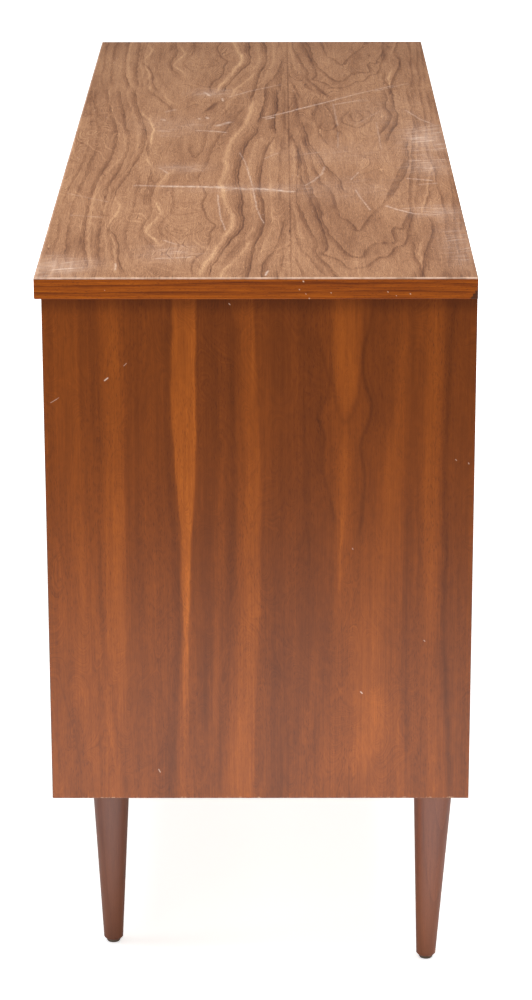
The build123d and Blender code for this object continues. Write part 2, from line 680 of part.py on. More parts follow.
def control_panel():
    panel = rounded_y(CONTROL_X, TUBE_Z, CONTROL_W - 1, WINDOW_H - 1, 3.0,
                      PANEL_FRONT, PANEL_BACK)
    panel = one(chamfer(at_y(panel.edges(), PANEL_FRONT), 0.8))
    for points, radius in (([VHF], 6.0), ([UHF] + POT_CENTRES, 3.8), ([(CONTROL_X, LAMP_Z)], 4.0)):
        panel = drill_y(panel, points, radius, PANEL_FRONT - 1, PANEL_BACK + 1)
    return panel


def pilot_lamp():
    end = PANEL_BACK + 12 - PANEL_FRONT
    return turned_y(CONTROL_X, LAMP_Z, PANEL_FRONT, [
        (0, -3.2), (2.4, -2.8), (4.4, -1.2), (5.2, 0), (3.9, 0), (3.9, end), (0, end)])


def control_bracket():
    """Sheet behind the panel, on four pillars."""
    bracket = block(CONTROL_X - 59, CONTROL_X + 59, BRACKET_FRONT, BRACKET_BACK,
                    OPEN_LOW + 10, OPEN_TOP - 14)
    for offset in (-53, 53):
        for z in (OPEN_LOW + 18, OPEN_TOP - 22):
            bracket = bracket + rod_y(CONTROL_X + offset, z, 4.0, PANEL_BACK, BRACKET_FRONT + 0.2)
    for points, radius in (([VHF], 7.7), ([UHF], 6.2), (POT_CENTRES, 5.15)):
        bracket = drill_y(bracket, points, radius, BRACKET_FRONT - 1, BRACKET_BACK + 1)
    return bracket


def tuner(x, z, half_width, half_height, depth, bush_r, shaft_r, bore_end):
    """Sheet box open below, with a shaft bush on its front."""
    y = BRACKET_BACK
    inner = half_width - SHEET_T
    box = (block(x - half_width, x + half_width, y, y + depth, z - half_height, z + half_height)
           - block(x - inner, x + inner, y + SHEET_T, y + depth - SHEET_T,
                   z - half_height - 1, z + half_height - SHEET_T))
    box = box + rod_y(x, z, bush_r, y - 11, y + 0.5)
    return box - rod_y(x, z, shaft_r + 0.06, y - 12, y + bore_end)


def potentiometer(x, z):
    y = BRACKET_BACK
    body = rod_y(x, z, 12.0, y, y + 16) + rod_y(x, z, 5.0, y - 9, y + 0.5)
    return body - rod_y(x, z, SHAFT_R + 0.06, y - 10, y + 12)


def fluted(x, z, radius, front, back, flutes, depth, taper=0.6):
    """A knob body whose side carries shallow flutes along its axis."""
    count = flutes * 6
    points = []
    for k in range(count):
        angle = 2 * math.pi * k / count
        reach = radius - depth * (0.5 - 0.5 * math.cos(flutes * angle)) ** 2
        points.append((reach * math.cos(angle), reach * math.sin(angle)))
    body = prism_y(x, z, Face(polygon(points)), front, back)
    shell = turned_y(x, z, 0, [(0, front), (radius - taper - 1.6, front),
                               (radius - taper, front + 1.6), (radius + 0.5, back), (0, back)])
    return body & shell


def channel_knob():
    """Skirted knob on the hollow shaft, recessed in front."""
    x, z = VHF
    body = fluted(x, z, 24.0, KNOB_BACK - 12.0, KNOB_BACK - 1.4, flutes=28, depth=1.1)
    body = body + turned_y(x, z, KNOB_BACK, [
        (0, -1.6), (31.5, -1.6), (33.0, -0.6), (33.0, 0), (0, 0)])
    body = body - rod_y(x, z, 13.2, KNOB_BACK - 13, KNOB_BACK - 9.5)
    return body - rod_y(x, z, HOLLOW_OUT + 0.05, KNOB_BACK - 14, KNOB_BACK + 1)


def channel_drum():
    """Hollow shaft with the coil drum, grooved at twelve positions."""
    x, z = VHF
    drum = rod_y(x, z, HOLLOW_OUT, KNOB_BACK - 9.0, BRACKET_BACK + 96)
    drum = drum + rod_y(x, z, 27.0, BRACKET_BACK + 16, BRACKET_BACK + 80)
    grooves = ring(x, z, 29, range(0, 360, 30))
    drum = drill_y(drum, grooves, 5.0, BRACKET_BACK + 15, BRACKET_BACK + 81)
    return drum - rod_y(x, z, HOLLOW_IN, KNOB_BACK - 10, BRACKET_BACK + 97)


def fine_tuning_knob():
    body = fluted(*VHF, 12.0, KNOB_BACK - 18.0, KNOB_BACK - 10.2, flutes=20, depth=0.8)
    return body + rod_y(*VHF, SHAFT_R, KNOB_BACK - 10.4, BRACKET_BACK + 8)


def knob(x, z, radius, length, flutes, shaft_end):
    """Knob body and its separate shaft."""
    front = KNOB_BACK - length
    body = fluted(x, z, radius, front, KNOB_BACK - 1.0, flutes, depth=0.9)
    body = body + turned_y(x, z, KNOB_BACK, [
        (0, -1.2), (radius + 1.6, -1.2), (radius + 2.4, -0.4), (radius + 2.4, 0), (0, 0)])
    # pointer groove across the front face
    body = body - Pos(x, front, z + radius * 0.55) * Box(1.2, 1.2, radius * 0.8)
    body = body - rod_y(x, z, SHAFT_R, front + 4, KNOB_BACK + 1)
    return body, rod_y(x, z, SHAFT_R, front + 4, shaft_end)


write("control_panel", control_panel())
write("pilot_lamp", pilot_lamp())
write("control_bracket", control_bracket())
write("tuner_housings",
      tuner(*VHF, half_width=35, half_height=45, depth=94, bush_r=7.5,
            shaft_r=HOLLOW_OUT, bore_end=95),
      tuner(*UHF, half_width=28, half_height=28, depth=62, bush_r=6.0,
            shaft_r=SHAFT_R, bore_end=30))
write("potentiometers", *[potentiometer(x, z) for x, z in POT_CENTRES])
write("channel_knob", channel_knob())
write("channel_shaft_and_drum", channel_drum())
write("fine_tuning_knob", fine_tuning_knob())
write("uhf_knob", *knob(*UHF, radius=24.0, length=15, flutes=28, shaft_end=BRACKET_BACK + 28))
for name, sizes in KNOBS.items():
    write(name, *knob(*sizes, shaft_end=BRACKET_BACK + 11))

# ================================================================ chassis
CHASSIS_X = 74                          # left side; the right side meets the partition
CHASSIS_FRONT, CHASSIS_BACK = 62.0, 109.5
CHASSIS_LOW, CHASSIS_TOP = BODY_LOW + 40.0, BODY_LOW + 440.0
CHASSIS_T = 1.5
CAGE_LOW, CAGE_TOP = BODY_LOW + 322.0, BODY_LOW + 432.0
CORE_LOW = CAGE_LOW + 28.0              # underside of the flyback core

TUBES = [  # x, height above the carcass underside, radius, length
    (222, 410, 10.5, 46), (258, 412, 10.5, 46), (294, 410, 10.5, 52), (328, 406, 10.5, 46),
    (226, 366, 10.5, 52), (268, 362, 14.0, 66), (316, 358, 14.0, 70), (222, 316, 10.5, 46),
    (262, 308, 10.5, 52), (306, 300, 17.0, 76), (110, 270, 14.0, 66), (160, 266, 17.0, 78),
    (214, 262, 10.5, 46)]
CAPACITORS = [  # x, height above the carcass underside, radius, end radius, side length
    (116, 100, 17.5, 15.5, 72), (170, 100, 17.5, 15.5, 60), (214, 172, 12.5, 11, 52)]


def chassis():
    x0, x1, sheet = CHASSIS_X, PART_IN, CHASSIS_T
    front, back, low, top = CHASSIS_FRONT, CHASSIS_BACK, CHASSIS_LOW, CHASSIS_TOP
    pan = block(x0, x1, back - sheet, back, FLOOR_Z, top)
    pan = pan + block(x0, x0 + sheet, front, back, low, top)
    pan = pan + block(x1 - sheet, x1, front, back, low, top)
    pan = pan + block(x0, x1, front, back, top - sheet, top)
    return pan + block(x0, x1, front, back, low, low + sheet)


def vacuum_tube(x, height, radius, length):
    return turned_y(x, BODY_LOW + height, CHASSIS_BACK, [
        (0, 0), (radius * 0.92, 0), (radius * 0.92, 7), (radius, 7.5),
        (radius, length - radius * 0.9), (radius * 0.86, length - radius * 0.45),
        (radius * 0.5, length - radius * 0.12), (2.2, length), (1.0, length + 4),
        (0, length + 4.4)])


def high_voltage_cage():
    x0, x1, back = 84, 194, 184
    cage = (block(x0, x1, CHASSIS_BACK, back, CAGE_LOW, CAGE_TOP)
            - block(x0 + SHEET_T, x1 - SHEET_T, CHASSIS_BACK - 1, back - SHEET_T,
                    CAGE_LOW + SHEET_T, CAGE_TOP - SHEET_T))
    for i in range(7):
        cage = cage - rounded_y(97 + 14 * i, (CAGE_LOW + CAGE_TOP) / 2, 5, 84, 2.4,
                                back - 3, back + 2)
    return cage


def flyback():
    """Window core on a foot, and the coil round its left limb."""
    z = CORE_LOW
    core = block(118, 160, 133, 147, z, z + 58) - block(132, 146, 132, 148, z + 14, z + 44)
    core = core + block(118, 160, CHASSIS_BACK, 134, z, z + 5)
    coil = (rod_z(125, 140, 19, z + 15, z + 43)
            - block(117.9, 132.1, 132.9, 147.1, z + 10, z + 48))
    return core, coil


def power_transformer():
    y, z = CHASSIS_BACK, BODY_LOW
    core = block(248, 338, y + 16, y + 50, z + 62, z + 138)
    winding = block(262, 324, y, y + 68, z + 76, z + 124)
    return core + fillet(winding.edges().filter_by(Axis.Y), 7)


def capacitor(x, height, radius, end_r, length):
    return turned_y(x, BODY_LOW + height, CHASSIS_BACK, [
        (0, 0), (radius, 0), (radius, length), (end_r, length + 2), (0, length + 2)])


write("tv_chassis", chassis())
write("vacuum_tubes", *[vacuum_tube(*sizes) for sizes in TUBES])
write("high_voltage_cage", high_voltage_cage())
write("flyback_transformer", *flyback())
write("power_transformer", power_transformer())
write("filter_capacitors", *[capacitor(*sizes) for sizes in CAPACITORS])

# ================================================================ rear connections
BOARD_Z = BODY_LOW + 400.0
CORD_R = 2.9
CORD_Y = COVER_OUT + CORD_R + 0.4
COIL_TURNS = 2.5
COIL_STEPS = 50
COIL_PITCH = 7.4


def terminal_board():
    """Plate with four slotted screw heads."""
    y = COVER_OUT
    board = rounded_y(250, BOARD_Z, 76, 26, 3, y, y + 2.6)
    for i in range(4):
        x = 223 + 18 * i
        board = board + rod_y(x, BOARD_Z, 4.0, y + 2.5, y + 4.6)
        board = board - Pos(x, y + 4.6, BOARD_Z) * Box(6.0, 1.2, 1.1)
    return board


def mains_inlet():
    inlet = rounded_y(INLET_X, INLET_Z, 46, 26, 4, COVER_OUT, COVER_OUT + 2.4)
    boss = block(INLET_X - 14, INLET_X + 14, COVER_OUT + 2, COVER_OUT + 15,
                 INLET_Z - 8, INLET_Z + 8)
    return inlet + fillet(boss.edges().filter_by(Axis.Y), 4)


def lead(points, radius):
    """A round lead through the points, with ball corners."""
    points = [Vector(*point) for point in points]
    body = Pos(*points[0]) * Sphere(radius)
    for start, stop in zip(points, points[1:]):
        run = stop - start
        middle = Plane(origin=(start + stop) * 0.5, z_dir=run)
        body = body + middle * Cylinder(radius, run.length) + Pos(*stop) * Sphere(radius)
    return one(body)


def power_cord():
    """Cord from the inlet, lying as a flat oval coil on the back cover, and its plug."""
    points = []
    for k in range(COIL_STEPS + 1):
        angle = 2 * math.pi * COIL_TURNS * k / COIL_STEPS
        grow = COIL_PITCH * angle / (2 * math.pi)
        points.append(Vector(INLET_X + (74 + grow) * math.sin(angle), CORD_Y,
                             BODY_LOW + 152 + (40 + grow) * -math.cos(angle)))
    path = Edge.make_spline(points)
    cord = sweep(Plane(origin=path @ 0, z_dir=path % 0) * Circle(CORD_R), path=path)
    end, tail = path @ 1, path % 1
    plug = Pos(end.X, end.Y + 2.6, end.Z) * Box(26, 11, 18)
    plug = Pos(tail.X * 13, 0, tail.Z * 13) * plug
    plug = fillet(plug.edges(), 2.2)
    cord = cord + lead([
        (INLET_X, CORD_Y + 4, BODY_LOW + 67), (INLET_X, CORD_Y + 6.2, BODY_LOW + 79),
        (INLET_X, CORD_Y + 6.2, BODY_LOW + 112), (INLET_X, CORD_Y, BODY_LOW + 112)], CORD_R)
    return cord, plug - cord


def speaker_lead(side, start):
    """From the chassis, through a partition, up to the woofer."""
    return lead(start + [
        (side * (PART_OUT + 22), WIRE_Y, WIRE_Z), (side * SPEAKER_X, -40, WIRE_Z + 4),
        (side * SPEAKER_X, -90, WOOFER_Z - 70), (side * SPEAKER_X, -90, WOOFER_Z - 42.2)], 2.0)


def wiring_harness():
    z = CHASSIS_LOW - 2.1               # speaker leads start just under the chassis
    cage_lead = lead([
        (80.9, 150, BODY_LOW + 400), (60, 150, BODY_LOW + 400), (52, 110, BODY_LOW + 446),
        (TUBE_X, -2, BODY_LOW + 446), (TUBE_X, -10, TUBE_Z + 132)], 3.0)
    socket_lead = lead([
        (TUBE_X, NECK_END + 7, TUBE_Z - 23), (TUBE_X, NECK_END + 7, TUBE_Z - 90),
        (40, 150, BODY_LOW + 134), (70.5, 100, BODY_LOW + 130)], 3.4)
    left = speaker_lead(-1, [(90, 90, z), (40, 62, WIRE_Z), (20, WIRE_Y, WIRE_Z)])
    right = speaker_lead(1, [(300, 98, z), (310, 60, WIRE_Z), (334, WIRE_Y, WIRE_Z)])
    return cage_lead, socket_lead, left, right


write("rear_terminals", terminal_board(), mains_inlet())
write("power_cord", *power_cord())
write("wiring_harness", *wiring_harness())
write("wood_screws", *plate_screws, *speaker_screws(), *ear_screws)
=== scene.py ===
"""Looks of a low television console on four legs, in metres.

X runs along the cabinet with its right-hand end at +X, the front looks towards -Y and
the floor is z = 0. The top carries a printed walnut laminate, the two ends a figured
veneer, and a speaker cloth closes each side of the front.
"""

import math

import bpy
import bmesh
import numpy as np
from mathutils import Matrix, Vector

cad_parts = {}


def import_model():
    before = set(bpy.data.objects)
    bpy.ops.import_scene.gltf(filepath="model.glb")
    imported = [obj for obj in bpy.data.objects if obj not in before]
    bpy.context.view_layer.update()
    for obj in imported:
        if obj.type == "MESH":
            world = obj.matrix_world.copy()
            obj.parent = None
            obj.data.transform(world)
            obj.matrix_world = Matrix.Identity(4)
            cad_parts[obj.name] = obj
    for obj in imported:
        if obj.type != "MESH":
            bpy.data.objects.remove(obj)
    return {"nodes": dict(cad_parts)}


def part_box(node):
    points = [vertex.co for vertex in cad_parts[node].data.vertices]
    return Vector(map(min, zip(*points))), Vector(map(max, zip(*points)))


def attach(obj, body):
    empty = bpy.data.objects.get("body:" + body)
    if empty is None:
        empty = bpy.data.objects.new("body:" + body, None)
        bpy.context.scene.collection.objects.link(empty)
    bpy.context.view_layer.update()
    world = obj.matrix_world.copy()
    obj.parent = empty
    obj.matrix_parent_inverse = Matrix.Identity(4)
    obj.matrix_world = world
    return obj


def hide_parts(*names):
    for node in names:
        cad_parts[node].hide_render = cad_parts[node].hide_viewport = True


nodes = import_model()["nodes"]
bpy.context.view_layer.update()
TOP_LOW, TOP_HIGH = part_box("top_laminate")
END_LOW, END_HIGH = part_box("end_panel_right")
CLOTH_LOW, CLOTH_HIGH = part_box("grille_cloths")
PLATE_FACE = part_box("control_panel")[0].y

# centres (x, z) of the two large dials on the control plate
CHANNEL_DIAL = (0.281, 0.601)
UHF_DIAL = (0.281, 0.501)


# =====================================================================
# shader building
# =====================================================================
def lin(*rgb):
    """Linear RGBA from sRGB channels, 0 to 255."""
    def channel(level):
        level /= 255.0
        return level / 12.92 if level <= 0.04045 else ((level + 0.055) / 1.055) ** 2.4
    return (*map(channel, rgb), 1.0)


def dimmed(color, factor):
    return tuple(channel * factor for channel in color[:3]) + (1.0,)


def metres(strokes, widen, fade=1.0):
    """Strokes (x0, y0, x1, y1, half width, strength) from mm to metres."""
    return [(*(end / 1000.0 for end in ends), width * widen / 1000.0, strength * fade)
            for *ends, width, strength in strokes]


class Value:
    """A shader socket that takes part in arithmetic; each operation adds a math node."""

    def __init__(self, shader, socket):
        self.shader, self.socket = shader, socket

    def output(self, key):
        """Another output of the same node."""
        return Value(self.shader, self.socket.node.outputs[key])

    def __add__(self, other):
        return self.shader.math("ADD", self, other)

    def __radd__(self, other):
        return self.shader.math("ADD", other, self)

    def __sub__(self, other):
        return self.shader.math("SUBTRACT", self, other)

    def __rsub__(self, other):
        return self.shader.math("SUBTRACT", other, self)

    def __mul__(self, other):
        return self.shader.math("MULTIPLY", self, other)

    def __pow__(self, other):
        return self.shader.math("POWER", self, other)


class Shader:
    """Builds one procedural material around a principled shader."""

    def __init__(self, name, source=None):
        """Start a new material or, with a source, go on from a copy of it."""
        if source is None:
            self.material = bpy.data.materials.new(name)
            self.material.use_nodes = True
            self.tree = self.material.node_tree
            self.tree.nodes.clear()
            surface = self.tree.nodes.new("ShaderNodeOutputMaterial")
            self.principled = self.tree.nodes.new("ShaderNodeBsdfPrincipled")
            self.tree.links.new(self.principled.outputs[0], surface.inputs[0])
        else:
            self.material = source.copy()
            self.material.name = name
            self.tree = self.material.node_tree
            self.principled = next(n for n in self.tree.nodes if n.type == "BSDF_PRINCIPLED")
        self.point = self.node("ShaderNodeTexCoord", out="Object")

    def feed(self, socket, value):
        if isinstance(value, Value):
            self.tree.links.new(value.socket, socket)
        else:
            socket.default_value = value

    def node(self, kind, inputs=None, out=0, **settings):
        node = self.tree.nodes.new(kind)
        for key, value in settings.items():
            setattr(node, key, value)
        for key, value in (inputs or {}).items():
            self.feed(node.inputs[key], value)
        return Value(self, node.outputs[out])

    def math(self, operation, *operands, clamp=False):
        return self.node("ShaderNodeMath", dict(enumerate(operands)),
                         operation=operation, use_clamp=clamp)

    def vector(self, operation, *operands, scale=None):
        inputs = dict(enumerate(operands))
        if scale is not None:
            inputs["Scale"] = scale
        out = "Value" if operation in ("DOT_PRODUCT", "LENGTH") else 0
        return self.node("ShaderNodeVectorMath", inputs, out, operation=operation)

    def split(self, vector):
        first = self.node("ShaderNodeSeparateXYZ", {0: vector})
        return [first.output(k) for k in range(3)]

    def combine(self, x, y, z):
        return self.node("ShaderNodeCombineXYZ", {0: x, 1: y, 2: z})

    def stretch(self, vector, factors):
        return self.vector("MULTIPLY", vector, factors)

    def noise(self, point, stretch=None, scale=1.0, detail=2.0, rough=0.5, color=False):
        if stretch:
            point = self.stretch(point, stretch)
        inputs = {"Vector": point, "Scale": scale, "Detail": detail, "Roughness": rough}
        return self.node("ShaderNodeTexNoise", inputs, "Color" if color else "Fac")

    def warp(self, point, source, amount, scale, detail):
        """point moved by a colour noise taken at source."""
        shift = self.noise(source, scale=scale, detail=detail, color=True)
        return self.vector("ADD", point, self.stretch(shift, amount))

    def cells(self, point, stretch=None, scale=1.0):
        """Distance to the nearest point of a Voronoi pattern."""
        if stretch:
            point = self.stretch(point, stretch)
        return self.node("ShaderNodeTexVoronoi", {"Vector": point, "Scale": scale}, "Distance")

    def random(self, value):
        return self.node("ShaderNodeTexWhiteNoise", {"W": value}, "Value",
                         noise_dimensions="1D")

    def ramp(self, value, stops):
        """Colour ramp; stops map a position to an sRGB triple."""
        color = self.node("ShaderNodeValToRGB", {0: value})
        elements = color.socket.node.color_ramp.elements
        while len(elements) < len(stops):
            elements.new(0.5)
        for element, (position, rgb) in zip(elements, stops.items()):
            element.position = position
            element.color = lin(*rgb)
        return color

    def remap(self, value, span, to=(0.0, 1.0), smooth=False):
        """Carry the interval span onto the interval to, clamped."""
        inputs = dict(enumerate((value, *span, *to)))
        return self.node("ShaderNodeMapRange", inputs,
                         interpolation_type="SMOOTHSTEP" if smooth else "LINEAR")

    def mix(self, amount, first, second):
        return self.node("ShaderNodeMix", {0: amount, 6: first, 7: second}, 2,
                         data_type="RGBA")

    def bump(self, height, strength, distance):
        return self.node("ShaderNodeBump", {"Strength": strength, "Distance": distance,
                                            "Height": height})

    def ring_lines(self, rings, power, chosen, to=(0.0, 1.0)):
        """A line at each whole ring, sharper with power; chosen and to vary its strength."""
        line = self.math("FRACT", rings) ** power
        return line * self.remap(self.random(self.math("FLOOR", rings)), chosen, to)

    def strokes(self, point, items):
        """Brightest of several thin strokes (x0, y0, x1, y1, half width, strength)."""
        total = None
        for x0, y0, x1, y1, width, strength in items:
            here = point
            if total is not None:
                # a tiny share of the last stroke makes the shader work through them in
                # turn, so its stack stays small
                here = self.vector("MULTIPLY_ADD", total, (1e-7, 1e-7, 1e-7), point)
            from_start = self.vector("SUBTRACT", here, (x0, y0, 0.0))
            run = (x1 - x0, y1 - y0, 0.0)
            along = self.math("MULTIPLY", self.vector("DOT_PRODUCT", from_start, run),
                              1.0 / (run[0] ** 2 + run[1] ** 2), clamp=True)
            off = self.vector("SUBTRACT", from_start, self.vector("SCALE", run, scale=along))
            mark = self.remap(self.vector("LENGTH", off), (0.0, width), (strength, 0.0),
                              smooth=True)
            total = mark if total is None else self.math("MAXIMUM", total, mark)
        return total

    def finish(self, color, rough, normal=None, **inputs):
        """Feed the principled shader; input names take _ for a space."""
        self.feed(self.principled.inputs["Base Color"], color)
        self.feed(self.principled.inputs["Roughness"], rough)
        if normal is not None:
            self.feed(self.principled.inputs["Normal"], normal)
        for key, value in inputs.items():
            self.feed(self.principled.inputs[key.replace("_", " ")], value)
        return self.material


# =====================================================================
# figured veneer: growth figure drawn as curves, held as vertex attributes
# =====================================================================
# A line is (ring level, tone, core width, soft width, soft side, [points]). The points run
# across,along in mm: across from the front edge, along as each table says.
# Top: one repeat of the print; along runs from the left-hand end towards the right.
PERIOD = 925.0
TOP_LEAF_FRONT = [
    (1, -0.25, 0.9, 3, 1, [4,330, 7,430, 13,520, 17,600, 18,700, 15,800, 9,900, 8,1000, 11,1100,
     12,1180, 17,1255]),
    (3, -0.4, 0.9, 4, 1, [7.5,330, 12.5,430, 20,520, 25,600, 27.5,700, 25,760, 22.5,850, 19,950,
     19,1010, 21,1100, 22.5,1150, 25,1200, 31,1255]),
    (4, 0.4, 1.4, 3.5, -1, [25,330, 31,420, 39,500, 50,560, 57.5,630, 60,680, 59,740, 49,800,
     42,850, 40,900, 40,1000, 42,1080, 45,1150, 49,1200, 54,1255]),
    (6, -0.55, 0.9, 5, -1, [22.5,330, 31,430, 40,520, 47.5,600, 49,700, 45,780, 39,850, 36.5,930,
     36,1010, 37.5,1080, 40,1150, 45,1200, 50,1255]),
    (9, -0.5, 0.8, 5, -1, [37.5,330, 42.5,400, 50,480, 56,560, 62.5,620, 64,700, 60,800, 52.5,880,
     51.5,950, 52.5,1040, 54,1120, 56,1180, 62.5,1255]),
    (10, 0.3, 1.2, 4, 1, [46,330, 52,400, 59,470, 65,540, 71,600, 73,680, 70,780, 60,870, 58,950,
     58,1030, 58,1100, 63,1170, 70,1255]),
    (12, -0.55, 1, 6, -1, [57.5,330, 60,390, 65,450, 72.5,520, 80,590, 81.5,660, 80,710, 75,770,
     67,850, 62,900, 59,960, 59,1030, 61,1080, 67.5,1110, 74,1150, 76,1200, 80,1240, 89,1290]),
    (13, 0.55, 1.6, 3, 1, [61,940, 65,970, 67.5,1000, 64,1030, 61,1060, 64,1110, 70,1150,
     72.5,1200, 75,1250, 79,1290]),
    (14, -0.45, 1, 5, -1, [74,330, 82.5,370, 92.5,410, 102.5,440, 107.5,490, 109,540]),
    (15, 0.45, 1.6, 3, 1, [89,335, 94,370, 98,400, 105,425, 111,450]),
    (15, 0.75, 1.7, 3, 1, [67.5,470, 75,500, 84,540, 87.5,590, 88,640, 88.5,690]),
    (15, 0.55, 1.8, 5, 1, [84,720, 89,760, 95,795, 98,840]),
    (16, -0.4, 0.9, 6, 1, [86,640, 85,700, 90,745, 94,800, 92.5,880, 91.5,950, 93,1000]),
    (14, -0.25, 0.8, 4, -1, [80,800, 83,850, 83,920, 82.5,1000, 80,1060, 80,1120, 86,1180,
     95,1240, 105,1290]),
    (17, 0.6, 2, 6, 1, [120,790, 112.5,830, 106,870, 103,910]),
    (17, 0.7, 1.6, 4, 1, [102,950, 107.5,985, 110.5,1020, 107.5,1040, 101.5,1070, 100,1095,
     104,1120, 111,1142, 115,1172]),
    (17, -0.45, 0.9, 5, -1, [107.5,830, 102,870, 99.5,920, 98.5,960, 102,1010, 98,1050, 95,1090,
     100,1130, 108,1160, 112,1190]),
    (18, -0.4, 0.8, 4, 1, [120,880, 120,930, 122.5,980, 120,1020, 114,1050, 111,1082, 116,1115,
     125,1140]),
    (19, -0.3, 0.8, 4, 1, [131,1048, 122.5,1060, 118,1082, 122,1108, 134,1120, 149,1108, 156,1088,
     151,1060, 140,1048, 131,1048]),
    (20, -0.4, 0.7, 3, 1, [148,1070, 136,1074, 126,1086, 131,1096, 142,1092, 149,1080]),
    (20, 0.7, 1.2, 0, 0, [124,1091, 134,1085, 144,1079]),
    (20, -1, 1.6, 0, 0, [146.5,1078, 147.5,1084]),
    (17, -0.45, 0.8, 3, -1, [150,795, 146.5,840, 147.5,870, 152.5,900, 156,930, 153.5,970,
     154,990, 157.5,1020, 160,1045, 165,1060, 168.5,1070, 166.5,1090, 163,1110, 164,1135,
     162.5,1160, 159,1190, 152.5,1210, 148.5,1245, 151,1290]),
    (16, -0.5, 3.6, 8, 1, [166,400, 159,420, 153,445, 147,470, 141.5,492]),
    (17, -0.45, 0.9, 5, -1, [177.5,435, 170,480, 162.5,520, 155,560, 151,610, 149.5,650,
     147.5,695, 143,733, 137.5,738, 133,705, 131,660]),
    (15, -0.5, 0.9, 5, -1, [192.5,445, 185,500, 177.5,550, 170,600, 163,640, 158,700, 154.5,760,
     150,810]),
    (15, 0.35, 2, 6, 1, [187.5,335, 179,380, 172.5,420, 167.5,470, 161,520, 155,545]),
    (18, -0.3, 1, 6, 1, [102.5,622, 115,628, 128,624]),
    (12, 0.75, 4, 9, 1, [202,400, 199,460, 196,520, 191,570, 182.5,620, 176,680, 173,740, 175,790,
     172.5,830, 170,870, 172.5,900, 175,950, 180,1000, 185,1040, 184,1080, 178,1120, 172.5,1160,
     167.5,1200, 161,1240, 155,1290]),
    (11, -0.75, 1.4, 8, -1, [209,560, 207,600, 200,640, 195,680, 192.5,720, 190,770, 188,850,
     190,880, 192.5,920, 194,960, 194,1000, 196,1040, 195.5,1075, 191.5,1105, 184,1140, 177,1180,
     172.5,1215, 167.5,1250, 165,1290]),
    (9, 0.65, 2.4, 6, 1, [206,1130, 197.5,1180, 189,1220, 181,1255, 175,1300, 171,1330]),
    (9, -0.3, 0.9, 5, 1, [196,1130, 188,1170, 181,1210, 175,1260]),
    (8, 0.35, 2.2, 5, 1, [212.5,620, 206,670, 202,730, 200,800, 201,880, 204,950, 206,1010,
     207.5,1060, 204,1100, 198,1140]),
    (7, -0.75, 1.2, 7, 1, [215,340, 216,400, 213.5,450, 210,520, 208,560]),
    (7, -0.65, 1.2, 6, -1, [228,612, 223,660, 218,700, 215,750, 213.5,800, 212,850, 212,900,
     213.5,940, 216.5,970, 216,1000, 217.5,1040, 216,1080, 214,1110, 209,1150, 206.5,1190,
     205,1230, 204,1262, 201,1300, 196,1330]),
    (5, 0.4, 2.2, 5, 1, [223,620, 224,700, 223,780, 222.5,860, 224,940, 226,1020, 225,1080,
     220,1130, 215,1180, 211,1240]),
    (4, -0.85, 1.5, 7, -1, [229,330, 230.5,400, 230,460, 227.5,520, 227.5,590, 229,612]),
    (3, -0.5, 1.5, 7, 1, [238,1040, 235,1090, 231.5,1140, 227.5,1180, 221,1210, 216.5,1240,
     215,1290]),
    (3, -0.45, 1, 5, 1, [236,620, 234,700, 232.5,800, 232,900, 233,980]),
    (2, -0.4, 1, 6, -1, [239,1100, 237,1160, 235,1220, 233,1290]),
    (1, -0.3, 1, 4, -1, [240,330, 239.5,480, 240,600]),
]
